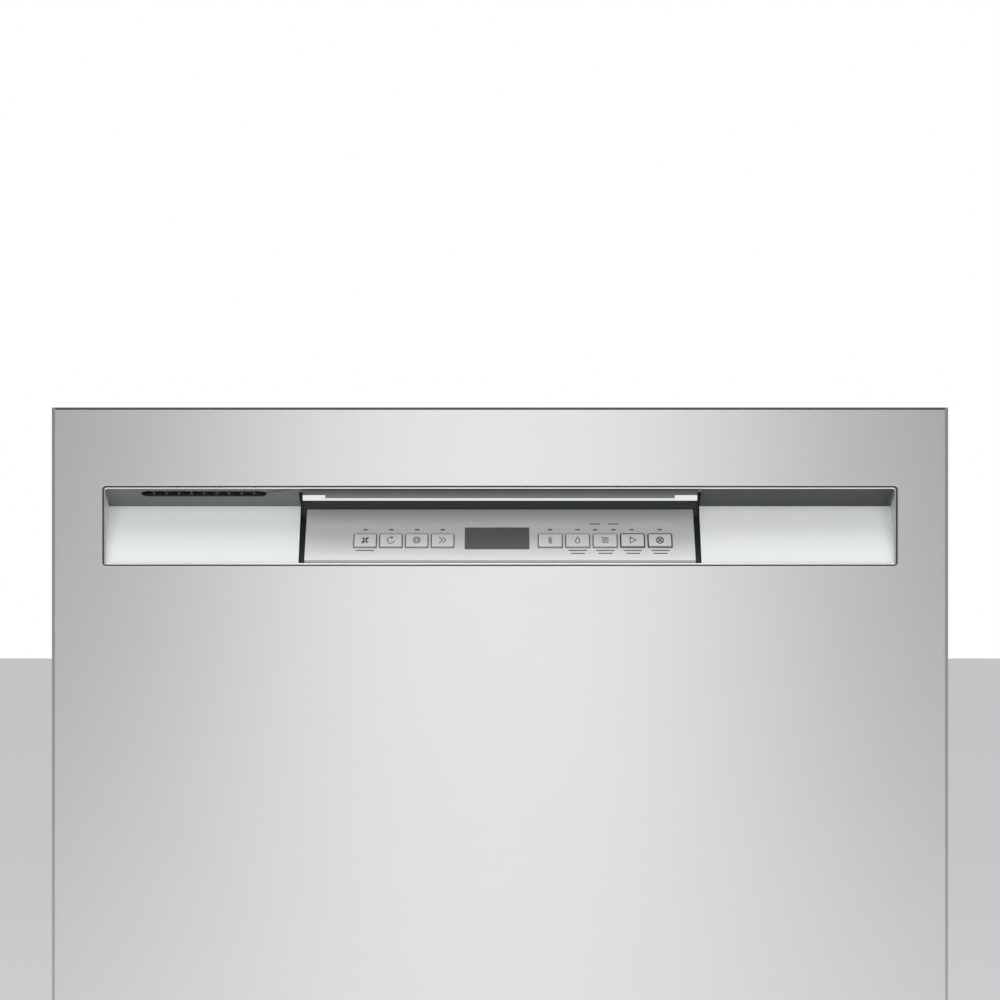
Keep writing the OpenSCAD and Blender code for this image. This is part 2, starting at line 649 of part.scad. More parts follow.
module upper_rack() color("#a9adaf") union() {
    basket_frame(upper_half, rack_front, rack_back, upper_z0, upper_z1);
    for (y = [-140, -40, 120]) tine_row(y, -upper_half + 1, upper_half - 1, upper_z0 + wire * 1.5 - eps, 50);
    box(-9, 9, arm_cy - 20, back_in - 17, upper_z0 - 14, upper_z0 + 1);
    rod_z(middle_z - 0.5, upper_z0 - 13, 0, arm_cy, arm_pin_r);
    both_sides() for (y = [upper_axle_front, upper_axle_rear]) {
        box(upper_half - wire, upper_half, y - 14, y + 14, rail_cz - 8, rail_cz + 30);
        rod_x(upper_half - eps, rail_web - 1.6, y, rail_cz, upper_axle_r);
    }
}

module upper_wheels_front() color("#7d8183") wheel_pair(rail_web - 8, 6, upper_axle_front, rail_cz,
    upper_wheel_r, upper_axle_r + running_gap);
module upper_wheels_rear() color("#7d8183") wheel_pair(rail_web - 8, 6, upper_axle_rear, rail_cz,
    upper_wheel_r, upper_axle_r + running_gap);

module upper_rails() color("#b4b8ba") both_sides() difference() {
    box(rail_web - rail_flange, rail_web + rail_flange, rail_front, rail_back,
        rail_cz - rail_half_h, rail_cz + rail_half_h);
    for (s = [-1, 1]) translate([s * (rail_flange / 2 + 1) + rail_web, 0, rail_cz])
        cube([rail_flange, 2 * body_d, 2 * rail_half_h - 4], center = true);
}

module rail_rollers() color("#7d8183") both_sides() for (y = [tub_front + 35, tub_front + 150]) {
    rod_x(rail_web + 1.6, rail_web + 8, y, rail_cz, rail_half_h - 2.4);
    rod_x(rail_web + 7, tub_in, y, rail_cz, 4);
}

// ---- Base ----
module base_frame() color("#6f7375") both_sides() difference() {
    union() {
        box(rail_x0, tub_half, toe_y + 4, back - 11, rail_z, rail_top);
        for (y = [leg_front - 18, leg_rear - 12])
            box(rail_x0, tub_half, y, y + 26, rail_top - eps, floor_z - tub_wall);
        box(-eps, rail_x0 + 1, back - 31, back - 11, rail_z, rail_z + 3);
        box(-eps, rail_x0 + 1, leg_front - 14, leg_front + 2, rail_z, rail_z + 3);
        // Upright and plate that carry the hinge pin
        box(tub_half - eps, bracket_x + arm_t, pivot_y + 27, pivot_y + 50, rail_z, rail_top);
        box(bracket_x, bracket_x + arm_t, pivot_y + 27, pivot_y + 50, rail_z, pivot_z + 6);
        box(bracket_x, bracket_x + arm_t, pivot_y, pivot_y + 28, pivot_z - 8, pivot_z + 6);
        rod_x(bracket_x, bracket_x + arm_t, pivot_y, pivot_z, 8);
        rod_x(arm_x - 0.6, bracket_x + eps, pivot_y, pivot_z, pin_r);
    }
    box(rail_x0 - eps, tub_half - 3, toe_y + 30, back - 14, rail_z + 3, rail_top - 3);
    for (y = [leg_front, leg_rear]) rod_z(0, rail_top - 3, leg_x, y, leg_r + 0.2);
}

module levelling_legs() color("#8b8f91") both_sides() for (y = [leg_front, leg_rear]) {
    rod_z(0, 8, leg_x, y, foot_r);
    rod_z(8 - eps, rail_top - 5, leg_x, y, leg_r);
    translate([leg_x, y, rail_z - 8]) cylinder(r = 10, h = 8, $fn = 6);
}

module toe_panel() color("#1e1f20") difference() {
    box(-tub_half + 2, tub_half - 2, toe_y, toe_y + 12, 12, rail_top + 4);
    box(-tub_half, tub_half, toe_y + 2, toe_y + 20, 10, rail_top + 2);
}

// Coil springs that balance the door, as hollow sleeves of the coil's outer size
module counter_springs() color("#7f8385") both_sides() difference() {
    rod_y(-60, 120, spring_x, spring_z - 14, 9);
    rod_y(-61, 121, spring_x, spring_z - 14, 6);
}

module spring_cables() color("#4a4d4f") both_sides() {
    rod_y(toe_y + 20, -61, spring_x, spring_z - 14, 2);
    rod_y(121, back - 33, spring_x, spring_z - 14, 2);
}

module inlet_valve() color("#3f6f9a") union() {
    box(valve_x - 20, valve_x + 20, valve_y - 20, valve_y + 20, 30, 60);
    rod_z(14, 31, valve_x, valve_y, inlet_r);
    rod_z(59, 70, valve_x, valve_y, 6);
}

module fill_hose() color("#45484a") union() {
    rod_z(70, hose_z, valve_x, valve_y, hose_r);
    translate([valve_x, valve_y, hose_z]) sphere(r = hose_r);
    rod_y(valve_y, riser_y, valve_x, hose_z, hose_r);
    translate([valve_x, riser_y, hose_z]) sphere(r = hose_r);
    rod_z(hose_z, floor_z - tub_wall, valve_x, riser_y, hose_r);
}

module junction_box() color("#808486") {
    difference() {
        box(rail_x0 - 100, rail_x0 - 20, -205, -150, 22, 66);
        box(rail_x0 - 98, rail_x0 - 22, -206, -152, 24, 64);
        rod_y(-153, -149, rail_x0 - 60, 44, conduit_r);
    }
    box(rail_x0 - 102, rail_x0 - 18, -206.5, -205, 20, 68);
}

door_panel();
pocket_housing();
vent_grille();
control_fascia();
grip_bar();
display_window();
indicator_lights();
control_board();
door_liner();
door_gasket();
door_latch();
dispenser_body();
dispenser_lid();
rinse_cap();
hinge_arms();
button_boost();
button_auto();
button_normal();
button_quick();
button_high_temp();
button_sanitize();
button_heated_dry();
button_start();
button_cancel();
tub_wrapper();
tub_back();
tub_floor();
tub_gasket();
damping_pads();
base_frame();
toe_panel();
levelling_legs();
mounting_brackets();
strike_hook();
counter_springs();
spring_cables();
heater_element();
sump();
filter_plate();
filter_cup();
wash_pump();
drain_pump();
inlet_valve();
fill_hose();
junction_box();
feed_tube();
float_dome();
lower_spray_arm();
middle_spray_arm();
top_spray_arm();
lower_rack();
silverware_basket();
fold_tines();
lower_wheels_front();
lower_wheels_rear();
upper_rack();
upper_rails();
upper_wheels_front();
upper_wheels_rear();
rail_rollers();
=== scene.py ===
import bpy
import math
from mathutils import Matrix, Vector


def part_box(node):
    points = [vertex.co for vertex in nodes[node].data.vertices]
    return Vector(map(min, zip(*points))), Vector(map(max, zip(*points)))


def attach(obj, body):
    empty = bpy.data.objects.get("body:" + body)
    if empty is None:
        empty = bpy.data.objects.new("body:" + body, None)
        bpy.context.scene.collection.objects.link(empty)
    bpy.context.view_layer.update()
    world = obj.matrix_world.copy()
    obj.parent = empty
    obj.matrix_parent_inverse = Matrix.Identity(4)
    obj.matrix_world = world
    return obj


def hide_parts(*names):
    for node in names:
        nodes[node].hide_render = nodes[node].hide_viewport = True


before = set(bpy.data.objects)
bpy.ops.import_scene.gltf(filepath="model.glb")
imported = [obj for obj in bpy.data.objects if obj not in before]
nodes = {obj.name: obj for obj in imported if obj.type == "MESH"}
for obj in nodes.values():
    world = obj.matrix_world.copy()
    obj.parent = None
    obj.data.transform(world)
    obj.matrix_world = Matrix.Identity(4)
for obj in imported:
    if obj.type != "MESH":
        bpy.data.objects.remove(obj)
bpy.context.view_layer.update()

mm = 0.001
scene = bpy.context.scene
scene.view_settings.view_transform = "Standard"


# small tools

def linear(hexColour, alpha=1.0):
    # sRGB hex to the linear colour that the shader wants
    channels = [int(hexColour[i:i + 2], 16) / 255 for i in (1, 3, 5)]
    return [c / 12.92 if c <= 0.04045 else ((c + 0.055) / 1.055) ** 2.4 for c in channels] + [alpha]


def addNode(tree, kind, settings=None, links=None):
    # links: socket name or number -> output socket, settings: socket name or property -> value
    node = tree.nodes.new(kind)
    for key, value in (settings or {}).items():
        if isinstance(key, int) or key in node.inputs:
            node.inputs[key].default_value = value
        else:
            setattr(node, key, value)
    for key, output in (links or {}).items():
        tree.links.new(output, node.inputs[key])
    return node


def only(piece):
    bpy.ops.object.select_all(action="DESELECT")
    piece.select_set(True)
    bpy.context.view_layer.objects.active = piece
    return piece


def applyAll(piece):
    only(piece)
    for modifier in list(piece.modifiers):
        bpy.ops.object.modifier_apply(modifier=modifier.name)
    return piece


def named(name):
    piece = bpy.context.active_object
    piece.name = name
    piece.data.name = name
    return piece


def addBlock(name, low, high):
    # a block between two corners given in metres, with its place in its mesh
    bpy.ops.object.select_all(action="DESELECT")
    bpy.ops.mesh.primitive_cube_add(size=1, location=[(a + b) / 2 for a, b in zip(low, high)])
    piece = named(name)
    piece.scale = [b - a for a, b in zip(low, high)]
    bpy.ops.object.transform_apply(location=True, rotation=False, scale=True)
    return piece


def addRound(name, centre, radius, depth, axis="Z", vertices=48):
    turns = {"X": (0, math.pi / 2, 0), "Y": (math.pi / 2, 0, 0), "Z": (0, 0, 0)}
    bpy.ops.object.select_all(action="DESELECT")
    bpy.ops.mesh.primitive_cylinder_add(vertices=vertices, radius=radius, depth=depth,
                                        location=centre, rotation=turns[axis])
    piece = named(name)
    bpy.ops.object.transform_apply(location=True, rotation=True, scale=True)
    return piece


def pickEdges(piece, test):
    # selects the edges whose two ends pass the test, in edit mode
    only(piece)
    bpy.ops.object.mode_set(mode="EDIT")
    bpy.ops.mesh.select_mode(type="EDGE")
    bpy.ops.mesh.select_all(action="DESELECT")
    bpy.ops.object.mode_set(mode="OBJECT")
    for edge in piece.data.edges:
        a, b = (piece.data.vertices[i].co for i in edge.vertices)
        edge.select = bool(test(a, b))
    bpy.ops.object.mode_set(mode="EDIT")


def bevelPicked(piece, test, width, segments=4):
    pickEdges(piece, test)
    bpy.ops.mesh.bevel(offset=width, segments=segments, profile=0.5)
    bpy.ops.object.mode_set(mode="OBJECT")
    return piece


def deleteFaces(piece, test):
    only(piece)
    bpy.ops.object.mode_set(mode="EDIT")
    bpy.ops.mesh.select_mode(type="FACE")
    bpy.ops.mesh.select_all(action="DESELECT")
    bpy.ops.object.mode_set(mode="OBJECT")
    for face in piece.data.polygons:
        face.select = bool(test(face.center, face.normal))
    bpy.ops.object.mode_set(mode="EDIT")
    bpy.ops.mesh.delete(type="FACE")
    bpy.ops.object.mode_set(mode="OBJECT")
    return piece


def cut(piece, cutter, kind="DIFFERENCE"):
    modifier = piece.modifiers.new("cut", "BOOLEAN")
    modifier.operation = kind
    modifier.object = cutter
    modifier.solver = "EXACT"
    applyAll(piece)
    bpy.data.objects.remove(cutter)
    return piece


def soften(piece, width, segments=3, angle=40):
    # rounds every sharp edge and shades the rest smooth
    modifier = piece.modifiers.new("soften", "BEVEL")
    modifier.width = width
    modifier.segments = segments
    modifier.limit_method = "ANGLE"
    modifier.angle_limit = math.radians(angle)
    modifier.harden_normals = False
    applyAll(piece)
    return smooth(piece, angle)


def smooth(piece, angle=40):
    only(piece)
    bpy.ops.object.shade_smooth_by_angle(angle=math.radians(angle))
    # flat faces keep their own normals next to a rounded edge
    flat = piece.modifiers.new("flatFaces", "WEIGHTED_NORMAL")
    flat.weight = 100
    flat.keep_sharp = True
    bpy.ops.object.modifier_apply(modifier=flat.name)
    return piece


def joinAll(name, pieces):
    bpy.ops.object.select_all(action="DESELECT")
    for piece in pieces:
        piece.select_set(True)
    bpy.context.view_layer.objects.active = pieces[0]
    if len(pieces) > 1:
        bpy.ops.object.join()
    return named(name)


def extrudeOutline(name, outline, x0, x1):
    # a prism along X from an outline of (y, z) points in metres
    bpy.ops.object.select_all(action="DESELECT")
    bpy.ops.mesh.primitive_circle_add(vertices=len(outline), radius=1, fill_type="NGON")
    piece = named(name)
    for vertex, (y, z) in zip(piece.data.vertices, outline):
        vertex.co = (x0, y, z)
    bpy.ops.object.mode_set(mode="EDIT")
    bpy.ops.mesh.select_all(action="SELECT")
    bpy.ops.mesh.extrude_region_move(TRANSFORM_OT_translate={"value": (x1 - x0, 0, 0)})
    bpy.ops.mesh.select_all(action="SELECT")
    bpy.ops.mesh.normals_make_consistent(inside=False)
    bpy.ops.object.mode_set(mode="OBJECT")
    return piece


def roundedRun(points, radius, closed=False, steps=4):
    # a line through points with an arc of this radius at each corner
    pts = [Vector(p) for p in points]
    count = len(pts)
    out = []
    for i, p in enumerate(pts):
        if not closed and i in (0, count - 1):
            out.append(p)
            continue
        before, after = pts[i - 1], pts[(i + 1) % count]
        toBefore, toAfter = (before - p).normalized(), (after - p).normalized()
        reach = min(radius, (before - p).length / 2, (after - p).length / 2)
        start, end = p + toBefore * reach, p + toAfter * reach
        for k in range(steps + 1):
            t = k / steps
            out.append(start * (1 - t) ** 2 + p * 2 * t * (1 - t) + end * t ** 2)
    return out


def addWires(name, runs, radius, resolution=2):
    # runs: (points, closed) lines, each drawn as a round wire
    bpy.ops.object.select_all(action="DESELECT")
    bpy.ops.curve.primitive_bezier_curve_add()
    piece = named(name)
    piece.data.splines.clear()
    piece.data.dimensions = "3D"
    for points, closed in runs:
        spline = piece.data.splines.new("POLY")
        spline.points.add(len(points) - 1)
        for target, point in zip(spline.points, points):
            target.co = (*point, 1)
        spline.use_cyclic_u = closed
    piece.data.bevel_depth = radius
    piece.data.bevel_resolution = resolution
    piece.data.use_fill_caps = True
    bpy.ops.object.transform_apply(location=True, rotation=True, scale=True)
    bpy.ops.object.convert(target="MESH")
    piece = named(name)
    return smooth(piece, 50)


def finishPiece(piece, body, material, replaced=()):
    piece.data.materials.clear()
    piece.data.materials.append(material)
    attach(piece, body)
    if replaced:
        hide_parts(*replaced)
    return piece


def carried(nodeName, material):
    # a CAD node keeps its shape and takes a finish
    target = nodes[nodeName].data.materials
    if len(target):
        for i in range(len(target)):
            target[i] = material
    else:
        target.append(material)


# materials

def surface(name, colour, roughness, metallic=0.0, grain=None, bump=0.0, colourShift=0.06,
            roughShift=0.08, stretch=(1, 1, 1), ior=1.5, anisotropy=0.0, turn=0.25, coat=0.0, detail=4.0):
    # grain: size of the pattern in millimetres; stretch: how much longer it runs along X, Y and Z
    material = bpy.data.materials.new(name)
    material.use_nodes = True
    tree = material.node_tree
    shader = tree.nodes["Principled BSDF"]
    shader.inputs["Metallic"].default_value = metallic
    if metallic < 0.5:
        shader.inputs["IOR"].default_value = ior
    if anisotropy:
        shader.inputs["Anisotropic"].default_value = anisotropy
        shader.inputs["Anisotropic Rotation"].default_value = turn
    if coat:
        shader.inputs["Coat Weight"].default_value = coat
        shader.inputs["Coat Roughness"].default_value = 0.08
    place = addNode(tree, "ShaderNodeTexCoord")
    scaled = addNode(tree, "ShaderNodeMapping", {"Scale": [1 / s for s in stretch]},
                     {"Vector": place.outputs["Object"]})
    fine = addNode(tree, "ShaderNodeTexNoise", {"Scale": 1 / (grain * mm), "Detail": detail,
                                                "Roughness": 0.6}, {"Vector": scaled.outputs[0]})
    broad = addNode(tree, "ShaderNodeTexNoise", {"Scale": 9.0, "Detail": 2.0},
                    {"Vector": place.outputs["Object"]})
    blend = addNode(tree, "ShaderNodeMix", {"data_type": "FLOAT", "Factor": 0.35},
                    {"A": fine.outputs[0], "B": broad.outputs[0]})
    base = linear(colour)
    darker = [c * (1 - colourShift) for c in base[:3]] + [1]
    lighter = [min(1, c * (1 + colourShift)) for c in base[:3]] + [1]
    ramp = addNode(tree, "ShaderNodeValToRGB", None, {"Fac": blend.outputs[0]})
    ramp.color_ramp.elements[0].position = 0.3
    ramp.color_ramp.elements[0].color = darker
    ramp.color_ramp.elements[1].position = 0.7
    ramp.color_ramp.elements[1].color = lighter
    tree.links.new(ramp.outputs[0], shader.inputs["Base Color"])
    rough = addNode(tree, "ShaderNodeMapRange", {"From Min": 0.3, "From Max": 0.7,
                                                 "To Min": max(0.02, roughness - roughShift),
                                                 "To Max": min(1, roughness + roughShift)},
                    {"Value": fine.outputs[0]})
    tree.links.new(rough.outputs[0], shader.inputs["Roughness"])
    if bump:
        raised = addNode(tree, "ShaderNodeBump", {"Strength": 0.5, "Distance": bump * mm},
                         {"Height": fine.outputs[0]})
        tree.links.new(raised.outputs[0], shader.inputs["Normal"])
    return material


# stainless sheet, belt-brushed along X: fine level lines, light spreads upright
brushedSteel = surface("brushedStainless", "#cacaca", 0.30, 1.0, grain=0.45, bump=0.0012, colourShift=0.012,
                       roughShift=0.02, stretch=(160, 1, 1), anisotropy=0.6)
# stainless tub sheet, rolled and lightly brushed: softer and greyer
tubSteel = surface("rolledStainless", "#d4d6d6", 0.36, 1.0, grain=1.2, bump=0.008, colourShift=0.04,
                   roughShift=0.06, stretch=(1, 1, 30), anisotropy=0.3)
# zinc plated mild steel: a cool grey with cloudy crystals
zincSteel = surface("zincPlatedSteel", "#9fa3a4", 0.42, 1.0, grain=6.0, bump=0.01, colourShift=0.12)
# spring steel wire, oiled: dark and smooth
springSteel = surface("springSteel", "#6f7173", 0.35, 1.0, grain=1.5, bump=0.006, stretch=(1, 12, 1))
# nickel alloy heater sheath, tinted brown by heat
heaterAlloy = surface("heaterSheath", "#6a625b", 0.5, 1.0, grain=3.0, bump=0.01, colourShift=0.2)
# moulded ABS, light grey, fine spark texture
lightAbs = surface("mouldedLightAbs", "#d1d4d3", 0.5, grain=0.6, bump=0.02, colourShift=0.012)
# the same plastic in a darker grey, painted shade where the housing turns under the panel
paintedShadeAbs = surface("mouldedAbsPaintedShade", "#585c5b", 0.55, grain=0.6, bump=0.02, colourShift=0.02)
# the inside of the cup, nearly black: painted shade deep in the cup
paintedCupShadeAbs = surface("mouldedAbsPaintedCupShade", "#2e3131", 0.55, grain=0.6, bump=0.02, colourShift=0.04)
# silver painted ABS of the fascia: fine metal flake under a satin lacquer
# painted reflection: dull dark grey on the top bend of the outer panel, standing in for the dark line that
# the rounded edge mirrors
paintedDarkEdgeSteel = surface("paintedDarkReflectionSteel", "#37393a", 0.6, 0.0, grain=0.8, bump=0.006, colourShift=0.05,
                    stretch=(60, 1, 1))
# polished steel bead of the pocket's mouth
beadSteel = surface("satinSteelBead", "#dcdddd", 0.14, 1.0, grain=0.8, bump=0.001, colourShift=0.02,
                    roughShift=0.02,
                    stretch=(40, 1, 1))
# near black painted shade in the gap between the sheet and the pocket housing, and on the walls of the vent
# slot
paintedGapShade = surface("blackPaintedGapShade", "#232526", 0.6, grain=0.8, bump=0.01, colourShift=0.1)
silverAbs = surface("silverPaintedAbs", "#e2e4e4", 0.42, 0.35, grain=0.35, bump=0.006, colourShift=0.02)
# satin silver ABS of the grip bar, polished by hands
gripAbs = surface("satinSilverAbs", "#bec0c0", 0.32, grain=0.5, bump=0.005, colourShift=0.01, coat=0.2)
# buttons: the same paint, a shade lighter and worn smoother
buttonAbs = surface("silverButtonAbs", "#e4e6e6", 0.40, 0.3, grain=0.35, bump=0.005, colourShift=0.015)
# black ABS, moulded matt
blackAbs = surface("mouldedBlackAbs", "#1b1c1d", 0.5, grain=0.6, bump=0.02, colourShift=0.1)
# the vent insert, the same black but unlit and smooth
ventAbs = surface("mouldedVentAbs", "#0e0f0f", 0.6, grain=0.6, bump=0.01, colourShift=0.1)
# printed ink on the controls, dark grey and matt
printedInk = surface("printedInk", "#3b3d3e", 0.6, grain=0.3, colourShift=0.05)
# smoked acrylic of the display
smokedAcrylic = surface("smokedAcrylic", "#5a5c5c", 0.3, grain=4.0, colourShift=0.01, roughShift=0.01,
                        coat=0.25, ior=1.49)
# clear grey light pipes
lightPipe = surface("lightPipe", "#565b5c", 0.25, grain=0.6, colourShift=0.08, ior=1.49)
# polypropylene: waxy, a little mottled
greyPoly = surface("greyPolypropylene", "#7c8486", 0.48, grain=0.9, bump=0.015, colourShift=0.04)
palePoly = surface("palePolypropylene", "#c4c8c8", 0.46, grain=0.9, bump=0.015, colourShift=0.03)
# nylon powder on steel wire: matt blue-grey with a soft orange peel
nylonWire = surface("nylonCoatedWire", "#9aa1a5", 0.45, grain=1.2, bump=0.03, colourShift=0.04)
# EPDM rubber, black with a bloom of grey
blackRubber = surface("blackRubber", "#2a2b2c", 0.72, grain=1.5, bump=0.03, colourShift=0.15)
# bitumen damping sheet: black-brown, coarse and matt
bitumen = surface("bitumenSheet", "#3b3835", 0.8, grain=5.0, bump=0.25, colourShift=0.4)
# black powder coat of the toe panel
powderBlack = surface("blackPowderCoat", "#1d1e1f", 0.5, 0.0, grain=0.8, bump=0.03, colourShift=0.12)
# blue nylon of the water valve
blueNylon = surface("blueNylon", "#3d6690", 0.45, grain=0.8, bump=0.02, colourShift=0.06)
# green solder mask of the control board
boardMask = surface("solderMask", "#1f5f3a", 0.35, grain=3.0, bump=0.01, colourShift=0.2, coat=0.3)
print("materials made")


# camera, floor and light

doorLow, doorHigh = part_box("door_panel")
camera = {"frameWidth": 0.6754, "distance": 2.3, "belowTop": 0.0625, "shift": 0.08, "sensor": 36.0}


def addCamera():
    centreZ = doorHigh.z - camera["belowTop"]
    bpy.ops.object.camera_add(location=(0, doorLow.y - camera["distance"],
                                        centreZ - camera["shift"] * camera["frameWidth"]),
                              rotation=(math.pi / 2, 0, 0))
    eye = bpy.context.active_object
    eye.data.sensor_width = camera["sensor"]
    eye.data.lens = camera["sensor"] * camera["distance"] / camera["frameWidth"]
    eye.data.shift_y = camera["shift"]
    eye.data.clip_end = 50
    scene.camera = eye


# the front strip is what the steel mirrors, the fill lights the plastics from in front and isn't mirrored
studio = {"backdrop": "#ffffff", "backdropPower": 1.0, "ambient": 0.34, "floor": "#f4f4f5", "floorGlow": 0.3,
          "stripWidth": 0.84, "stripHeight": 2.0, "stripDistance": 3.3, "stripRise": 1.35, "stripPower": 7.1,
          "topSize": 2.4, "topPower": 36,
          "fillSize": 2.6, "fillRise": 1.2, "fillPower": 88}


def addLight(name, place, turn, size, power, height=None, glossy=True):
    bpy.ops.object.light_add(type="AREA", location=place, rotation=turn)
    lamp = bpy.context.active_object
    lamp.name = name
    lamp.data.energy = power
    lamp.data.size = size
    if height:
        lamp.data.shape = "RECTANGLE"
        lamp.data.size_y = height
    lamp.visible_camera = False
    lamp.visible_glossy = glossy
    return lamp


def addStudio():
    bpy.ops.mesh.primitive_grid_add(x_subdivisions=4, y_subdivisions=4, size=60, location=(0, 0, 0))
    ground = named("floor")
    pale = surface("paleFloor", studio["floor"], 0.6, grain=30, colourShift=0.01)
    pale.node_tree.nodes["Principled BSDF"].inputs["Emission Color"].default_value = linear("#ffffff")
    pale.node_tree.nodes["Principled BSDF"].inputs["Emission Strength"].default_value = studio["floorGlow"]
    ground.data.materials.append(pale)
    addLight("frontStrip", (0, doorLow.y - studio["stripDistance"], studio["stripRise"]),
             (math.pi / 2, 0, 0), studio["stripWidth"], studio["stripPower"], studio["stripHeight"])
    addLight("topSoft", (0, -0.9, 3.0), (math.radians(20), 0, 0), studio["topSize"], studio["topPower"])
    addLight("frontFill", (0, doorLow.y - studio["stripDistance"], studio["fillRise"]),
             (math.radians(78), 0, 0), studio["fillSize"], studio["fillPower"], glossy=False)
    world = bpy.data.worlds.new("studio")
    scene.world = world
    world.use_nodes = True
    tree = world.node_tree
    tree.nodes.clear()
    seen = addNode(tree, "ShaderNodeBackground", {"Color": linear(studio["backdrop"]),
                                                  "Strength": studio["backdropPower"]})
    lit = addNode(tree, "ShaderNodeBackground", {"Color": linear("#e8e8e8"), "Strength": studio["ambient"]})
    ray = addNode(tree, "ShaderNodeLightPath")
    mix = addNode(tree, "ShaderNodeMixShader", None, {0: ray.outputs["Is Camera Ray"], 1: lit.outputs[0],
                                                      2: seen.outputs[0]})
    addNode(tree, "ShaderNodeOutputWorld", None, {"Surface": mix.outputs[0]})


addCamera()
addStudio()
print("camera and studio set")


# door front

panel = {"sheet": 1.5 * mm, "sideBend": 2.6 * mm, "topBend": 1.6 * mm,
         "mouthCorner": 2.2 * mm, "bottomReturn": 26 * mm}
mouthLow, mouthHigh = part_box("pocket_housing")
flange = 8 * mm
mouth = {"x": mouthHigh.x - flange, "low": mouthLow.z + flange, "high": mouthLow.z + flange + 54 * mm}


def makeDoorPanel():
    skin = addBlock("doorPanel", doorLow, doorHigh)
    # bend the side and top edges of the front face
    bevelPicked(skin, lambda a, b: a.y < doorLow.y + mm and b.y < doorLow.y + mm
                and abs(a.x - b.x) < mm and abs(a.x) > 0.2, panel["sideBend"], 5)
    bevelPicked(skin, lambda a, b: a.y < doorLow.y + mm and b.y < doorLow.y + mm
                and min(a.z, b.z) > doorHigh.z - mm and abs(a.x - b.x) > 0.3, panel["topBend"], 4)
    deleteFaces(skin, lambda centre, normal: normal.y > 0.9)
    wall = skin.modifiers.new("wall", "SOLIDIFY")
    wall.thickness = panel["sheet"]
    wall.offset = -1
    applyAll(skin)
    # the bottom return is shorter than the side returns
    shorten = addBlock("shorten", (doorLow.x + panel["sheet"], doorLow.y + panel["bottomReturn"],
                                   doorLow.z - 0.01),
                       (doorHigh.x - panel["sheet"], doorHigh.y + 0.01, doorLow.z + 3 * mm))
    cut(skin, shorten)
    window = addBlock("window", (-mouth["x"], doorLow.y - 0.01, mouth["low"]),
                      (mouth["x"], doorLow.y + 0.01, mouth["high"]))
    bevelPicked(window, lambda a, b: abs(a.y - b.y) > 0.01, panel["mouthCorner"], 5)
    cut(skin, window)
    # soften the mouth's front rim, the edge that catches the light
    bevelPicked(skin, lambda a, b: all(abs(p.y - doorLow.y) < 0.1 * mm and abs(p.x) < mouth["x"] + 0.2 * mm
                                       and mouth["low"] - 0.2 * mm < p.z < mouth["high"] + 0.2 * mm
                                       for p in (a, b)), 0.6 * mm, 3)
    smooth(skin, 30)
    finishPiece(skin, "door", brushedSteel, ["door_panel"])
    # painted reflection: the faces of the top bend take the dark edge steel, for the dark line that the
    # rounded edge mirrors
    skin.data.materials.append(paintedDarkEdgeSteel)
    for face in skin.data.polygons:
        onBend = face.center.z > doorHigh.z - 1.5 * mm and face.center.y < doorLow.y + 1.2 * mm
        if onBend and face.normal.z > 0.01:
            face.material_index = 1
    return skin


pocket = {"depth": 34 * mm, "ceilingDrop": 13 * mm, "cupHalf": 136.5 * mm}


def profile(points):
    return [(doorLow.y + u * mm, mouth["low"] + z * mm) for u, z in points]


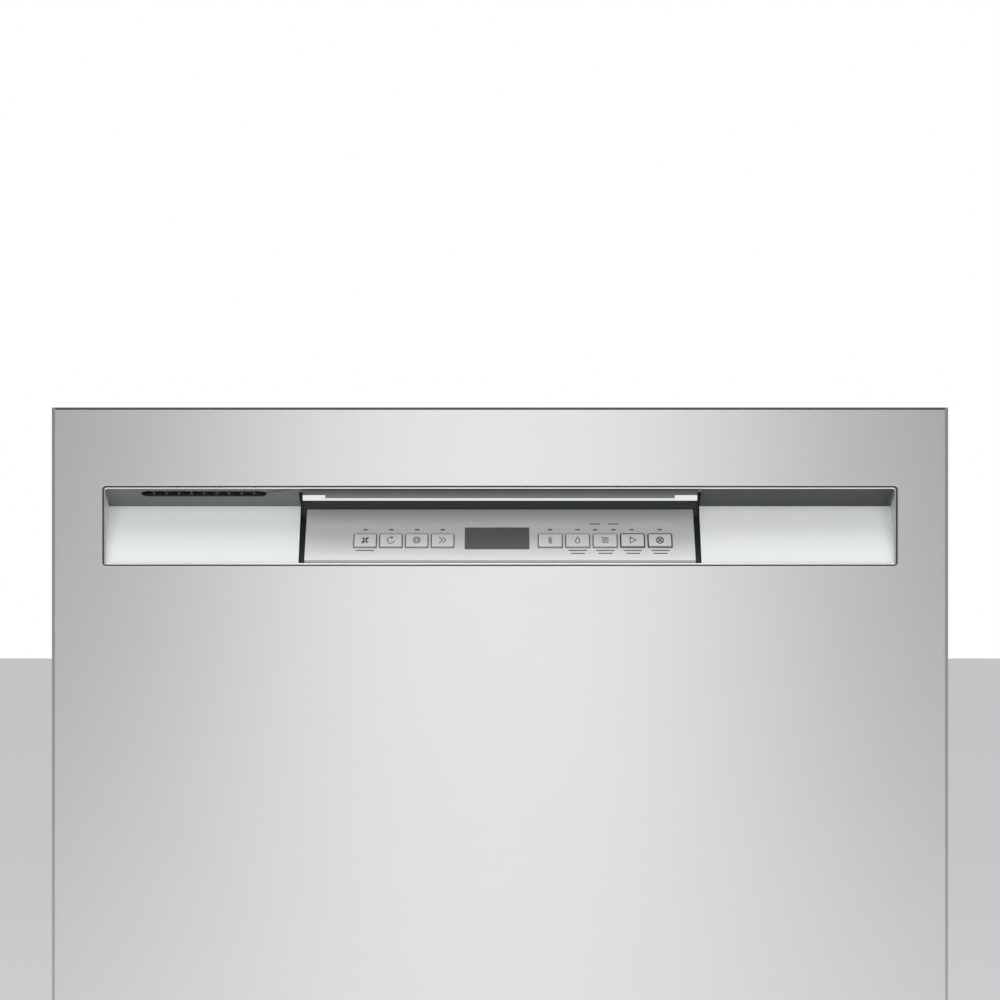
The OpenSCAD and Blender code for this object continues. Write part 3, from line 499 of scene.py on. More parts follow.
def makePocket():
    # the housing starts as a prism of its own side view, then the recess and the cup are cut out of it
    top = (mouth["high"] - mouth["low"]) / mm
    sheetMm = panel["sheet"] / mm
    shell = extrudeOutline("pocketHousing", profile([(sheetMm, -2), (sheetMm, top + 2), (36, top - 11),
                                                     (36, top - 15), (10, -2)]),
                           -mouth["x"] - 2 * mm, mouth["x"] + 2 * mm)
    cupShell = extrudeOutline("cupShell", profile([(sheetMm, -2), (sheetMm, top + 2), (10, top + 2),
                                                   (11, top + 19), (46.5, top + 19), (46.5, 34), (13, -2)]),
                              -pocket["cupHalf"] - 2 * mm, pocket["cupHalf"] + 2 * mm)
    cut(shell, cupShell, "UNION")
    lip = addBlock("lip", (-mouth["x"] - flange, doorLow.y + panel["sheet"], mouth["low"] - flange),
                   (mouth["x"] + flange, doorLow.y + panel["sheet"] + 2 * mm, mouth["high"] + flange))
    cut(shell, lip, "UNION")
    inset = 0.7
    recess = extrudeOutline("recess", profile([(-1, inset), (-1, top - inset + 0.4), (34, top - 13), (6, 2)]),
                            -mouth["x"] + inset * mm, mouth["x"] - inset * mm)
    bevelPicked(recess, lambda a, b: abs(a.x - b.x) < mm and abs((a - b).length) > 20 * mm, 1.6 * mm, 4)
    cut(shell, recess)
    cup = extrudeOutline("cup", profile([(-1, inset), (-1, top - inset), (11, top - 4), (13, top + 17),
                                         (44.5, top + 17), (44.5, 34.5), (9, -1.5), (3, inset)]),
                         -pocket["cupHalf"], pocket["cupHalf"])
    cut(shell, cup)
    opening = addBlock("boardOpening", (-126 * mm, -21 * mm, -26 * mm), (126 * mm, 21 * mm, -2 * mm))
    opening.data.transform(fasciaMatrix)
    cut(shell, opening)
    slotCut = ventShape("slotCut", 85.4 * mm, 10 * mm, -4 * mm, 6 * mm)
    cut(shell, slotCut)
    smooth(shell, 30)
    piece = finishPiece(shell, "door", lightAbs, ["pocket_housing"])
    # painted shade: the ceiling takes the dark grey and the cup's inside the near black
    piece.data.materials.append(paintedShadeAbs)
    piece.data.materials.append(paintedGapShade)
    piece.data.materials.append(paintedCupShadeAbs)
    for face in piece.data.polygons:
        under = face.normal.z < -0.5 and face.center.z > mouth["low"] + 30 * mm
        inCup = abs(face.center.x) < pocket["cupHalf"] + 0.5 * mm and face.center.y > doorLow.y + 9 * mm
        if under or inCup:
            face.material_index = 3 if inCup else 1
        # painted shade: the vent slot's walls and the housing's front rim, in the gap behind the sheet, take
        # the near black
        inVent = ventMatrix.inverted() @ face.center
        if abs(inVent.x) < 43.5 * mm and abs(inVent.y) < 5.5 * mm and 0.1 * mm < inVent.z < 4 * mm:
            face.material_index = 2
        if face.normal.y < -0.9 and face.center.y < doorLow.y + 2 * mm:
            face.material_index = 2
    return piece


def makePocketRim():
    # a satin bead runs round the mouth, just inside the black painted shade of its gap
    inset = 1.35 * mm
    corners = [(x, doorLow.y + 1.75 * mm, z) for x, z in
               ((-mouth["x"] + inset, mouth["low"] + inset), (mouth["x"] - inset, mouth["low"] + inset),
                (mouth["x"] - inset, mouth["high"] - inset), (-mouth["x"] + inset, mouth["high"] - inset))]
    rim = addWires("pocketRim", [(roundedRun(corners, 1.5 * mm, True), True)], 0.62 * mm, 3)
    return finishPiece(rim, "door", beadSteel)


fasciaLow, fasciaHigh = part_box("control_fascia")
fasciaTilt = math.radians(45)
fasciaThick = 3 * mm
fasciaBack = fasciaThick * math.cos(fasciaTilt)
fasciaCentre = Vector((0, (fasciaLow.y + fasciaHigh.y - fasciaBack) / 2,
                       (fasciaLow.z + fasciaBack + fasciaHigh.z) / 2))
fasciaMatrix = Matrix.Translation(fasciaCentre) @ Matrix.Rotation(fasciaTilt, 4, "X")
fasciaRun = (fasciaHigh.z - fasciaLow.z - fasciaBack) / math.sin(fasciaTilt)

ceilingAngle = math.atan2(pocket["ceilingDrop"], pocket["depth"])
ventLow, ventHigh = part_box("vent_grille")
ventCentre = Vector(((ventLow.x + ventHigh.x) / 2, doorLow.y + 12 * mm,
                     mouth["high"] - 12 * mm * math.tan(ceilingAngle)))
ventMatrix = Matrix.Translation(ventCentre) @ Matrix.Rotation(-ceilingAngle, 4, "X")


def ventShape(name, length, width, low, high):
    # a bar with round ends, lying on the sloping ceiling
    bar = addBlock(name, (-length / 2, -width / 2, low), (length / 2, width / 2, high))
    bevelPicked(bar, lambda a, b: abs(a.z - b.z) > 0.5 * mm, width / 2 - 0.01 * mm, 8)
    bar.data.transform(ventMatrix)
    return bar


def makeVentGrille():
    insert = ventShape("ventGrille", 85 * mm, 9.6 * mm, 0.4 * mm, 1.9 * mm)
    for i in range(10):
        hole = addBlock("hole", ((i - 4.5) * 8.5 * mm - 3.4 * mm, -3.8 * mm, -2 * mm),
                        ((i - 4.5) * 8.5 * mm + 3.4 * mm, 3.8 * mm, 4 * mm))
        bevelPicked(hole, lambda a, b: abs(a.z - b.z) > 2 * mm, 1.2 * mm, 3)
        hole.data.transform(ventMatrix)
        cut(insert, hole)
    soften(insert, 0.2 * mm, 2)
    return finishPiece(insert, "door", ventAbs, ["vent_grille"])


grip = {"half": 133.4 * mm, "endLength": 15.3 * mm}


def makeGripBar():
    top = (mouth["high"] - mouth["low"]) / mm
    lipShape = extrudeOutline("gripBar", profile([(2, top - 9.9), (4.5, top - 9.9), (8.5, top - 4.2),
                                                  (8.5, top - 3.5), (5.5, top - 2.6), (2, top - 8.2)]),
                              -grip["half"], grip["half"])
    ends = []
    for side in (-1, 1):
        x0, x1 = sorted((side * grip["half"], side * (grip["half"] - grip["endLength"])))
        block = extrudeOutline("end", profile([(1.7, top - 9.9), (1.7, top - 6.2), (6, top - 4.2),
                                               (6, top - 9.9)]), x0, x1)
        ends.append(block)
    for block in ends:
        cut(lipShape, block, "UNION")
    soften(lipShape, 0.3 * mm, 3)
    finishPiece(lipShape, "door", gripAbs, ["grip_bar"])
    # painted shade: the slope behind the bright front lip takes the dark grey, for the shadow of the mouth's
    # rim
    lipShape.data.materials.append(paintedShadeAbs)
    for face in lipShape.data.polygons:
        behind = face.center.y > doorLow.y + 2.3 * mm
        if behind and (face.normal.z > 0.2 or face.normal.y > 0.1 or face.normal.z < -0.5):
            face.material_index = 1
    return lipShape


buttonNames = ["boost", "auto", "normal", "quick", "high_temp", "sanitize", "heated_dry", "start", "cancel"]
controls = {"up": -6.4 * mm, "height": 13.2 * mm, "gap": 0.3 * mm, "proud": 0.8 * mm, "deep": 2.6 * mm,
            "displayX": -2 * mm, "displayUp": -3.6 * mm, "displayW": 43.9 * mm, "displayH": 21.4 * mm,
            "lightUp": 4.8 * mm, "ink": 0.29 * mm}


def onFascia(x, up, out=0.0):
    return fasciaMatrix @ Vector((x, up, out))


def fasciaBlock(name, x, up, width, height, low, high):
    block = addBlock(name, (x - width / 2, up - height / 2, low), (x + width / 2, up + height / 2, high))
    return block


def makeFascia():
    halfX = fasciaHigh.x - 1.4 * mm
    plate = addBlock("controlFascia", (-halfX, -fasciaRun / 2, -fasciaThick), (halfX, fasciaRun / 2, 0))
    for name in buttonNames:
        low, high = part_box("button_" + name)
        hole = fasciaBlock("hole", (low.x + high.x) / 2, controls["up"], high.x - low.x + 2 * controls["gap"],
                           controls["height"] + 2 * controls["gap"], -6 * mm, 6 * mm)
        bevelPicked(hole, lambda a, b: abs(a.z - b.z) > 5 * mm, 0.9 * mm, 3)
        cut(plate, hole)
    cut(plate, fasciaBlock("hole", controls["displayX"], controls["displayUp"],
                           controls["displayW"] + 0.2 * mm,
                           controls["displayH"] + 0.2 * mm, -6 * mm, 6 * mm))
    for x in lightPlaces:
        cut(plate, fasciaBlock("hole", x, controls["lightUp"], 3.2 * mm, 1.6 * mm, -6 * mm, 6 * mm))
    soften(plate, 0.25 * mm, 2)
    plate.data.transform(fasciaMatrix)
    return finishPiece(plate, "door", silverAbs, ["control_fascia"])


def clusterX(nodeName):
    # middles of the separate pieces of a node along X
    xs = sorted({round(v.co.x, 4) for v in nodes[nodeName].data.vertices})
    groups = [[xs[0]]]
    for x in xs[1:]:
        if x - groups[-1][-1] > 3.5 * mm:
            groups.append([x])
        else:
            groups[-1].append(x)
    return [(g[0] + g[-1]) / 2 for g in groups]


lightPlaces = clusterX("indicator_lights")


def makeLights():
    pipes = []
    for x in lightPlaces:
        pipe = fasciaBlock("pipe", x, controls["lightUp"], 3 * mm, 1.4 * mm, -2 * mm, 0.05 * mm)
        soften(pipe, 0.3 * mm, 3)
        pipes.append(pipe)
    group = joinAll("indicatorLights", pipes)
    group.data.transform(fasciaMatrix)
    return finishPiece(group, "door", lightPipe, ["indicator_lights"])


def makeDisplay():
    pane = fasciaBlock("displayWindow", controls["displayX"], controls["displayUp"], controls["displayW"],
                       controls["displayH"], -1.6 * mm, 0)
    soften(pane, 0.3 * mm, 3)
    pane.data.transform(fasciaMatrix)
    return finishPiece(pane, "door", smokedAcrylic, ["display_window"])


def circlePoints(x, up, radius, start=0, turn=360, count=20):
    return [(x + radius * math.cos(math.radians(start + turn * i / count)),
             up + radius * math.sin(math.radians(start + turn * i / count))) for i in range(count + 1)]


def pictogram(name, s):
    # simple pictograms drawn with strokes inside a square of side s around zero
    wave = [(-s / 2 + s * i / 12, 0.12 * s * math.sin(i * math.pi / 3)) for i in range(13)]
    shapes = {
        "boost": [[(x, -s / 2), (x, s / 2)] for x in (-s / 4, s / 4)]
        + [[(-s / 2, y), (s / 2, y)] for y in (-s / 4, s / 4)] + [[(-s / 2, -s / 2), (s / 2, s / 2)]],
        "auto": [circlePoints(0, 0, s / 2, 60, 290),
                 [(s * 0.05, s * 0.62), (s * 0.3, s * 0.42), (s * 0.02, s * 0.26)]],
        "normal": [circlePoints(0, 0, s / 2), circlePoints(0, 0, s / 4)],
        "quick": [[(-s / 2, s / 2), (0, 0), (-s / 2, -s / 2)], [(0, s / 2), (s / 2, 0), (0, -s / 2)]],
        "high_temp": [[(-0.12 * s, 0.5 * s), (-0.12 * s, -0.1 * s)],
                      [(0.12 * s, 0.5 * s), (0.12 * s, -0.1 * s)],
                      circlePoints(0, -0.3 * s, 0.22 * s, 60, 420)],
        "sanitize": [[(0, 0.55 * s), (-0.28 * s, 0.05 * s)] + circlePoints(0, -0.15 * s, 0.33 * s, 150,
                                                                           240)[0:]
                     + [(0.28 * s, 0.05 * s), (0, 0.55 * s)]],
        "heated_dry": [[(x, y + dy) for x, y in wave] for dy in (-0.35 * s, 0, 0.35 * s)],
        "start": [[(-0.35 * s, 0.5 * s), (0.5 * s, 0), (-0.35 * s, -0.5 * s), (-0.35 * s, 0.5 * s)]],
        "cancel": [circlePoints(0, 0, s / 2), [(-s / 3.4, -s / 3.4), (s / 3.4, s / 3.4)],
                   [(-s / 3.4, s / 3.4), (s / 3.4, -s / 3.4)]],
    }
    return shapes[name]


def makeButtons():
    for name in buttonNames:
        low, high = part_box("button_" + name)
        x, width = (low.x + high.x) / 2, high.x - low.x
        cap = fasciaBlock("button_" + name + "_cap", x, controls["up"], width, controls["height"],
                          -controls["deep"], controls["proud"])
        bevelPicked(cap, lambda a, b: abs(a.z - b.z) > 2 * mm, 1.0 * mm, 4)
        soften(cap, 0.3 * mm, 3)
        stem = addRound("stem", (x, controls["up"], -controls["deep"] - 1.4 * mm), 2 * mm, 2.8 * mm, "Z", 20)
        cap = joinAll("button_" + name + "_cap", [cap, stem])
        cap.data.transform(fasciaMatrix)
        finishPiece(cap, "button_" + name, buttonAbs, ["button_" + name])
        cap.data.materials.append(printedInk)
        outward = fasciaMatrix.to_3x3() @ Vector((0, 0, 1))
        for face in cap.data.polygons:
            if face.normal.dot(outward) < 0.5:
                face.material_index = 1
        size = 4.6 * mm
        runs = []
        for line in pictogram(name, size):
            runs.append(([onFascia(x + px, controls["up"] + py * 1.3, controls["proud"] + 0.01 * mm)
                          for px, py in line], False))
        # the outline that frames the button
        w, h = width / 2 - 0.3 * mm, controls["height"] / 2 - 0.4 * mm
        corners = [(-w, -h), (w, -h), (w, h), (-w, h)]
        frameRun = roundedRun([Vector((x + a, controls["up"] + b, controls["proud"] + 0.01 * mm)) for a,
                               b in corners],
                              0.8 * mm, True)
        bold = name in ("start", "cancel")
        ink = addWires("button_" + name + "_icon", runs, controls["ink"] * (1.35 if bold else 1))
        outline = addWires("outline", [([fasciaMatrix @ p for p in frameRun], True)],
                           (0.34 if bold else 0.17) * mm, 1)
        ink = joinAll("button_" + name + "_icon", [ink, outline])
        finishPiece(ink, "button_" + name, printedInk)


def makeMarks():
    # short printed bars where such a panel carries its captions
    runs = []
    height = 0.02 * mm

    def bar(x, up, length):
        runs.append(([onFascia(x - length / 2, up, height), onFascia(x + length / 2, up, height)], False))

    for name in buttonNames:
        low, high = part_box("button_" + name)
        x = (low.x + high.x) / 2
        below = controls["up"] - controls["height"] / 2
        if name not in ("auto", "normal", "quick", "high_temp"):
            bar(x, below - 2.6 * mm, 12.5 * mm)
        if name in ("sanitize", "heated_dry", "start", "cancel"):
            bar(x, below - 5.4 * mm, 9.5 * mm)
    for x in lightPlaces[-4:-2]:
        bar(x, controls["lightUp"] + 5.4 * mm, 7 * mm)
    marks = addWires("fasciaMarks", runs, 0.42 * mm, 1)
    return finishPiece(marks, "door", printedInk)


makeDoorPanel()
makePocket()
makePocketRim()
makeVentGrille()
makeGripBar()
makeFascia()
makeLights()
makeDisplay()
makeButtons()
makeMarks()
print("door front made")

# racks

wires = {"frame": 2.1 * mm, "fill": 1.6 * mm, "pitch": 40, "corner": 14 * mm}


def spread(low, high, pitch):
    count = max(1, math.ceil((high - low) / (pitch * mm)))
    return [low + (high - low) * i / count for i in range(count + 1)]


def basketRuns(half, y0, y1, z0, z1, mids=1):
    # a rack's frame: level loops with round corners, upright hoops both ways
    r = wires["frame"]
    frames, fills = [], []
    for i in range(mids + 2):
        z = z0 + r + (z1 - z0 - 2 * r) * i / (mids + 1)
        loop = [(-half + r, y0 + r, z), (half - r, y0 + r, z), (half - r, y1 - r, z), (-half + r, y1 - r, z)]
        frames.append((roundedRun(loop, wires["corner"], True), True))
    inset = 2.2 * r
    for x in spread(-half + 5 * r, half - 5 * r, wires["pitch"]):
        hoop = [(x, y0 + inset, z1 - r), (x, y0 + inset, z0 + r), (x, y1 - inset, z0 + r),
                (x, y1 - inset, z1 - r)]
        fills.append((roundedRun(hoop, 9 * mm), False))
    for i, y in enumerate(spread(y0 + 5 * r, y1 - 5 * r, wires["pitch"])):
        for side in (-1, 1):
            x = side * (half - inset)
            inner = side * (half - 26 * mm)
            fills.append((roundedRun([(x, y, z1 - r), (x, y, z0 + r), (inner, y, z0 + r)], 9 * mm), False))
        if i % 3 == 0:
            fills.append(([(-half + inset, y, z0 + 2.2 * r), (half - inset, y, z0 + 2.2 * r)], False))
    return frames, fills


def tineRuns(y, x0, x1, z, height):
    fills = [([(x0, y, z), (x1, y, z)], False)]
    count = math.floor((x1 - x0) / (wires["pitch"] * mm))
    for i in range(count + 1):
        x = x0 + 4 * mm + i * (x1 - x0 - 8 * mm) / count
        fills.append((roundedRun([(x, y - 1.5 * mm, z), (x, y, z + height * 0.6),
                                  (x, y + 1.5 * mm, z + height - 0.5 * mm)],
                                 20 * mm), False))
    return fills


def makeRack(name, nodeName, body, half, rows, tineHeight, tineEnds, parts):
    low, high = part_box(nodeName)
    lowZ = parts["z0"]
    frames, fills = basketRuns(half, low.y, high.y, lowZ, parts["z1"])
    for y in rows:
        fills += tineRuns(y * mm, tineEnds[0], tineEnds[1], lowZ + 6 * mm, tineHeight)
    pieces = [addWires("frames", frames, wires["frame"]), addWires("fills", fills, wires["fill"], 1)]
    pieces += parts["extra"]()
    rack = joinAll(name, pieces)
    return finishPiece(rack, body, nylonWire, [nodeName])


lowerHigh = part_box("lower_rack")[1]
frontWheelLow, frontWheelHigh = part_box("lower_wheels_front")
rearWheelLow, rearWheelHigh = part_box("lower_wheels_rear")
foldLow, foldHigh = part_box("fold_tines")
lowerHalf = 243 * mm


def lowerExtras():
    extras = []
    for side in (-1, 1):
        for wheelLow, wheelHigh in ((frontWheelLow, frontWheelHigh), (rearWheelLow, rearWheelHigh)):
            y, z = (wheelLow.y + wheelHigh.y) / 2, (wheelLow.z + wheelHigh.z) / 2
            x0, x1 = sorted((side * (lowerHalf - 4 * mm), side * lowerHalf))
            plate = addBlock("plate", (x0, y - 12 * mm, z - 5 * mm), (x1, y + 12 * mm, lowerZ0 + 4 * mm))
            extras.append(soften(plate, 1.2 * mm, 3))
            axle = addRound("axle", (side * (lowerHalf + 6.9 * mm), y, z), 3 * mm, 14.5 * mm, "X", 20)
            extras.append(soften(axle, 0.5 * mm, 2))
    for x in (foldLow.x + 3 * mm, foldHigh.x - 3 * mm):
        clip = addBlock("clip", (x - 4 * mm, foldY - 6 * mm, lowerZ0 + 1 * mm),
                        (x + 4 * mm, foldY + 6 * mm, foldZ + 5 * mm))
        cut(clip, addRound("bore", (x, foldY, foldZ), 2.6 * mm, 14 * mm, "X", 24))
        extras.append(soften(clip, 0.8 * mm, 2))
    crossbar = addWires("crossbar", [([(-lowerHalf + 3 * mm, foldY, lowerZ0 + 2 * mm),
                                       (lowerHalf - 3 * mm, foldY,
                                        lowerZ0 + 2 * mm)], False)], wires["frame"], 1)
    return extras + [crossbar]


foldY, foldZ = 62 * mm, foldLow.z + 2.5 * mm
lowerZ0 = lowerHigh.z - 211 * mm
makeRack("lowerRack", "lower_rack", "lower_rack", lowerHalf, (-150, -84, -18, 190), 87 * mm,
         (-lowerHalf + 3 * mm, foldHigh.x + 8 * mm), {"z0": lowerZ0, "z1": lowerHigh.z, "extra": lowerExtras})

upperLow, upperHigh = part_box("upper_rack")
upperHalf = 233.5 * mm
upperWheelLow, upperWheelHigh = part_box("upper_wheels_front")
upperZ0 = upperHigh.z - 140 * mm
railZ = (upperWheelLow.z + upperWheelHigh.z) / 2


def upperExtras():
    extras = []
    for side in (-1, 1):
        for y in (-110 * mm, 180 * mm):
            x0, x1 = sorted((side * (upperHalf - 4 * mm), side * upperHalf))
            plate = addBlock("plate", (x0, y - 14 * mm, railZ - 8 * mm), (x1, y + 14 * mm, railZ + 30 * mm))
            extras.append(soften(plate, 1.2 * mm, 3))
            axle = addRound("axle", (side * (upperHalf + 8.8 * mm), y, railZ), 2.5 * mm, 18 * mm, "X", 20)
            extras.append(soften(axle, 0.5 * mm, 2))
    pipe = addBlock("pipe", (-9 * mm, 0, upperZ0 - 14 * mm), (9 * mm, 285.5 * mm, upperZ0 + 1 * mm))
    extras.append(soften(pipe, 4 * mm, 4))
    hub = addRound("hub", (0, 20 * mm, (upperLow.z + upperZ0) / 2), 6 * mm, upperZ0 - upperLow.z, "Z", 32)
    extras.append(soften(hub, 0.6 * mm, 2))
    return extras


makeRack("upperRack", "upper_rack", "upper_rack", upperHalf, (-140, -40, 120), 50 * mm,
         (-upperHalf + 3 * mm, upperHalf - 3 * mm), {"z0": upperZ0, "z1": upperHigh.z, "extra": upperExtras})


def makeFoldTines():
    length = (foldHigh.x - foldLow.x)
    axle = addRound("axle", ((foldLow.x + foldHigh.x) / 2, foldY, foldZ), 2.45 * mm, length, "X", 24)
    soften(axle, 0.6 * mm, 2)
    runs = []
    first, last = foldLow.x + 17 * mm, foldHigh.x - 17 * mm
    for i in range(8):
        x = first + i * (last - first) / 7
        runs.append(([(x, foldY, foldZ), (x, foldY, foldHigh.z - 0.4 * mm)], False))
    tines = joinAll("foldTines", [axle, addWires("tines", runs, 1.8 * mm)])
    return finishPiece(tines, "fold_tines", nylonWire, ["fold_tines"])


makeFoldTines()
print("racks made")

# rack wheels

wheel = {"hub": 0.36, "spokes": 6}


def makeWheel(name, x0, x1, y, z, radius, bore):
    # a rim, a thinner web with round holes and a hub
    middle, width = (x0 + x1) / 2, x1 - x0
    body = addRound(name, (middle, y, z), radius, width, "X", 56)
    for side in (-1, 1):
        dish = addRound("dish", (middle + side * width / 2, y, z), radius * 0.8, width * 0.42, "X", 48)
        cut(body, dish)
    hub = addRound("hub", (middle, y, z), radius * wheel["hub"], width, "X", 32)
    cut(body, hub, "UNION")
    for i in range(wheel["spokes"]):
        angle = 2 * math.pi * i / wheel["spokes"]
        hole = addRound("hole", (middle, y + math.cos(angle) * radius * 0.58,
                                 z + math.sin(angle) * radius * 0.58),
                        radius * 0.13, width * 2, "X", 16)
        cut(body, hole)
    cut(body, addRound("bore", (middle, y, z), bore, width * 3, "X", 32))
    return soften(body, radius * 0.035, 2, 50)


def makeWheelPair(name, nodeName, bore):
    low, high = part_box(nodeName)
    y, z, radius = (low.y + high.y) / 2, (low.z + high.z) / 2, (high.z - low.z) / 2
    inner = min(abs(v.co.x) for v in nodes[nodeName].data.vertices)
    pair = [makeWheel("wheel", inner, high.x, y, z, radius, bore),
            makeWheel("wheel", low.x, -inner, y, z, radius, bore)]
    return finishPiece(joinAll(name, pair), nodeName, greyPoly, [nodeName])


makeWheelPair("lowerWheelsFront", "lower_wheels_front", 3.05 * mm)
makeWheelPair("lowerWheelsRear", "lower_wheels_rear", 3.05 * mm)
makeWheelPair("upperWheelsFront", "upper_wheels_front", 2.55 * mm)
makeWheelPair("upperWheelsRear", "upper_wheels_rear", 2.55 * mm)

# cutlery basket

basket = {"cells": 5, "wall": 2.2 * mm, "rows": 9}


def makeBasket():
    low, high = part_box("silverware_basket")
    top = high.z - 60 * mm
    outer = addBlock("silverwareBasket", low, (high.x, high.y, top))
    bevelPicked(outer, lambda a, b: abs(a.z - b.z) > 50 * mm, 7 * mm, 5)
    pitch = (high.y - low.y) / basket["cells"]
    for i in range(basket["cells"]):
        y0, y1 = low.y + i * pitch + basket["wall"] * 0.7, low.y + (i + 1) * pitch - basket["wall"] * 0.7
        cell = addBlock("cell", (low.x + basket["wall"], max(y0, low.y + basket["wall"]),
                                 low.z + basket["wall"]),
                        (high.x - basket["wall"], min(y1, high.y - basket["wall"]), top + 5 * mm))
        bevelPicked(cell, lambda a, b: abs(a.z - b.z) > 50 * mm, 4 * mm, 3)
        cut(outer, cell)
    # rows of slots through the long walls
    slots = []
    rise = (top - low.z - 26 * mm) / basket["rows"]
    for i in range(basket["cells"]):
        for k in range(basket["rows"]):
            y = low.y + (i + 0.5) * pitch
            z = low.z + 14 * mm + k * rise
            slots.append(addBlock("slot", (low.x - 5 * mm, y - pitch * 0.36, z),
                                  (high.x + 5 * mm, y + pitch * 0.36, z + rise * 0.62)))
    cut(outer, joinAll("slots", slots))
    ends = []
    for k in range(basket["rows"]):
        for j in range(2):
            x = low.x + (high.x - low.x) * (0.27 + 0.46 * j)
            z = low.z + 14 * mm + k * rise
            ends.append(addBlock("slot", (x - 17 * mm, low.y - 5 * mm, z),
                                 (x + 17 * mm, low.y + 5 * mm, z + rise * 0.62)))
            ends.append(addBlock("slot", (x - 17 * mm, high.y - 5 * mm, z),
                                 (x + 17 * mm, high.y + 5 * mm, z + rise * 0.62)))
    cut(outer, joinAll("slots", ends))
    soften(outer, 0.5 * mm, 2, 50)
    middle = (low.x + high.x) / 2
    arch = [(middle, low.y + 85 * mm, top - 40 * mm), (middle, low.y + 85 * mm, high.z - 5 * mm),
            (middle, low.y + 205 * mm, high.z - 5 * mm), (middle, low.y + 205 * mm, top - 40 * mm)]
    handle = addWires("handle", [(roundedRun(arch, 18 * mm, False, 8), False)], 4.6 * mm, 4)
    return finishPiece(joinAll("silverwareBasket", [outer, handle]), "lower_rack", greyPoly,
                       ["silverware_basket"])


makeBasket()
print("wheels and basket made")

# spray arms

spray = {"tip": 0.62, "nozzles": 5, "nozzleRadius": 2.2 * mm}


def makeSprayArm(name, nodeName, body):
    low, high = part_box(nodeName)
    half = (high.x - low.x) / 2
    y, z0, z1 = (low.y + high.y) / 2, low.z, high.z
    arms = []
    wide = 15 * mm if nodeName == "lower_spray_arm" else 14 * mm
    for side in (-1, 1):
        inner, outer = side * 8 * mm, side * (half - wide)
        arm = addBlock("arm", (min(inner, outer), y - wide, z0 + 1 * mm),
                       (max(inner, outer), y + wide, z0 + 9 * mm))
        for vertex in arm.data.vertices:
            # the arm narrows towards its tip, and its top is narrower than its base
            if abs(vertex.co.x) > half / 2:
                vertex.co.y = y + (vertex.co.y - y) * spray["tip"]
            if vertex.co.z > z0 + 5 * mm:
                vertex.co.y = y + (vertex.co.y - y) * 0.72
        tip = addRound("tip", (outer, y, z0 + 5 * mm), wide * spray["tip"], 8 * mm, "Z", 40)
        for vertex in tip.data.vertices:
            if vertex.co.z > z0 + 5 * mm:
                vertex.co.x = outer + (vertex.co.x - outer) * 0.72
                vertex.co.y = y + (vertex.co.y - y) * 0.72
        cut(arm, tip, "UNION")
        soften(arm, 2.0 * mm, 4, 35)
        arms.append(arm)
    hub = addRound("hub", (0, y, (z0 + z1) / 2), 20 * mm, z1 - z0, "Z", 64)
    soften(hub, 2.2 * mm, 4)
    piece = arms[0]
    cut(piece, arms[1], "UNION")
    cut(piece, hub, "UNION")
    cut(piece, addRound("bore", (0, y, z0), 6.1 * mm, 60 * mm, "Z", 40))
    rims = []
    for side in (-1, 1):
        for i in range(spray["nozzles"]):
            x = side * half * (0.24 + 0.155 * i)
            offset = side * 3.4 * mm * (1 if i % 2 else -1)
            cut(piece, addRound("nozzle", (x, y + offset, z0 + 9 * mm), spray["nozzleRadius"], 5 * mm, "Z",
                                20))
            rim = addRound("rim", (x, y + offset, z0 + 9 * mm), spray["nozzleRadius"] * 1.6, 1.2 * mm, "Z",
                           24)
            cut(rim, addRound("inner", (x, y + offset, z0 + 9 * mm), spray["nozzleRadius"], 5 * mm, "Z", 20))
            rims.append(rim)
    smooth(piece, 35)
    piece = joinAll(name, [piece] + rims)
    return finishPiece(piece, body, palePoly, [nodeName])


makeSprayArm("lowerSprayArm", "lower_spray_arm", "lower_spray_arm")
makeSprayArm("middleSprayArm", "middle_spray_arm", "middle_spray_arm")
makeSprayArm("topSprayArm", "top_spray_arm", "top_spray_arm")
print("spray arms made")

# springs under the tub

coil = {"turns": 26, "wire": 1.5 * mm, "steps": 14}


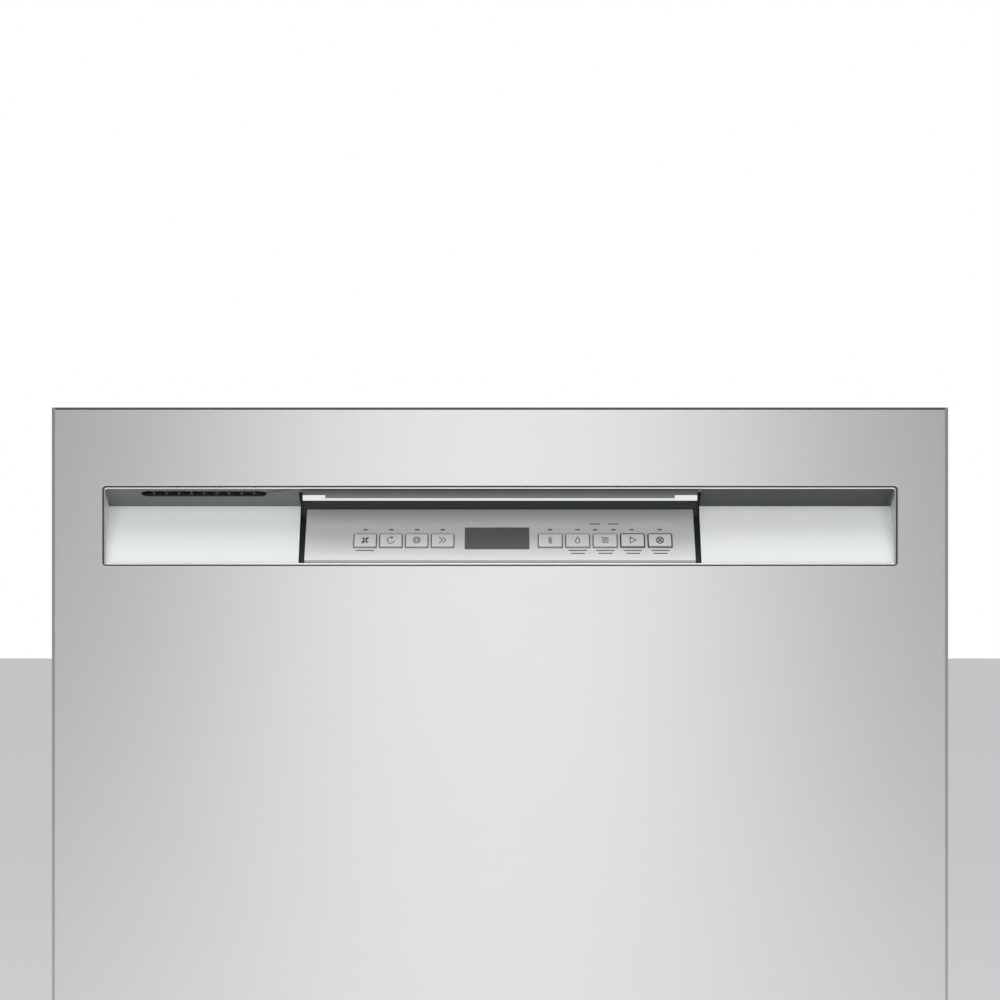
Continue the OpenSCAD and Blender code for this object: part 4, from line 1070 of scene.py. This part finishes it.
def makeSprings():
    low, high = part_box("counter_springs")
    radius = (high.z - low.z) / 2
    z = (high.z + low.z) / 2
    runs = []
    for side in (-1, 1):
        x = side * (high.x - radius)
        total = coil["turns"] * coil["steps"]
        y0, y1 = low.y + coil["wire"] * 1.2, high.y - coil["wire"] * 1.2
        line = []
        for i in range(total + 1):
            angle = 2 * math.pi * i / coil["steps"]
            r = radius - coil["wire"] - 0.05 * mm
            line.append((x + r * math.cos(angle), y0 + (y1 - y0) * i / total, z + r * math.sin(angle)))
        runs.append((line, False))
        # the end hooks run to the middle of the coil
        for y, first in ((y0, line[0]), (y1, line[-1])):
            runs.append(([first, (x, y, z)], False))
    springs = addWires("counterSprings", runs, coil["wire"], 1)
    return finishPiece(springs, "cabinet", springSteel, ["counter_springs"])


makeSprings()


def makeCables():
    low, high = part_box("spring_cables")
    springLow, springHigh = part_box("counter_springs")
    z = (low.z + high.z) / 2
    radius = (high.z - low.z) / 2
    strand = radius * 0.46
    runs = []
    for side in (-1, 1):
        x = side * (high.x - radius)
        for y0, y1 in ((low.y, springLow.y + 1.8 * mm), (springHigh.y - 1.8 * mm, high.y)):
            steps = int((y1 - y0) / (2.2 * mm))
            for k in range(3):
                line = []
                for i in range(steps + 1):
                    angle = 2 * math.pi * (i / 7 + k / 3)
                    line.append((x + (radius - strand) * math.cos(angle), y0 + (y1 - y0) * i / steps,
                                 z + (radius - strand) * math.sin(angle)))
                runs.append((line, False))
    cables = addWires("springCables", runs, strand, 1)
    return finishPiece(cables, "cabinet", springSteel, ["spring_cables"])


makeCables()
print("springs made")

# finishes of the carried nodes

finishes = {
    "control_board": boardMask, "door_liner": tubSteel, "door_gasket": blackRubber, "door_latch": blackAbs,
    "dispenser_body": palePoly, "dispenser_lid": greyPoly, "rinse_cap": greyPoly, "hinge_arms": zincSteel,
    "tub_wrapper": tubSteel, "tub_back": tubSteel, "tub_floor": tubSteel, "tub_gasket": blackRubber,
    "damping_pads": bitumen, "base_frame": zincSteel, "toe_panel": powderBlack, "levelling_legs": zincSteel,
    "mounting_brackets": zincSteel, "strike_hook": zincSteel,
    "heater_element": heaterAlloy, "sump": greyPoly, "filter_plate": tubSteel,
    "filter_cup": greyPoly, "wash_pump": blackAbs, "drain_pump": greyPoly, "inlet_valve": blueNylon,
    "fill_hose": blackRubber, "junction_box": zincSteel, "feed_tube": palePoly, "float_dome": lightAbs,
    "upper_rails": tubSteel, "rail_rollers": greyPoly,
}
for nodeName, finish in finishes.items():
    carried(nodeName, finish)

print("all pieces made")
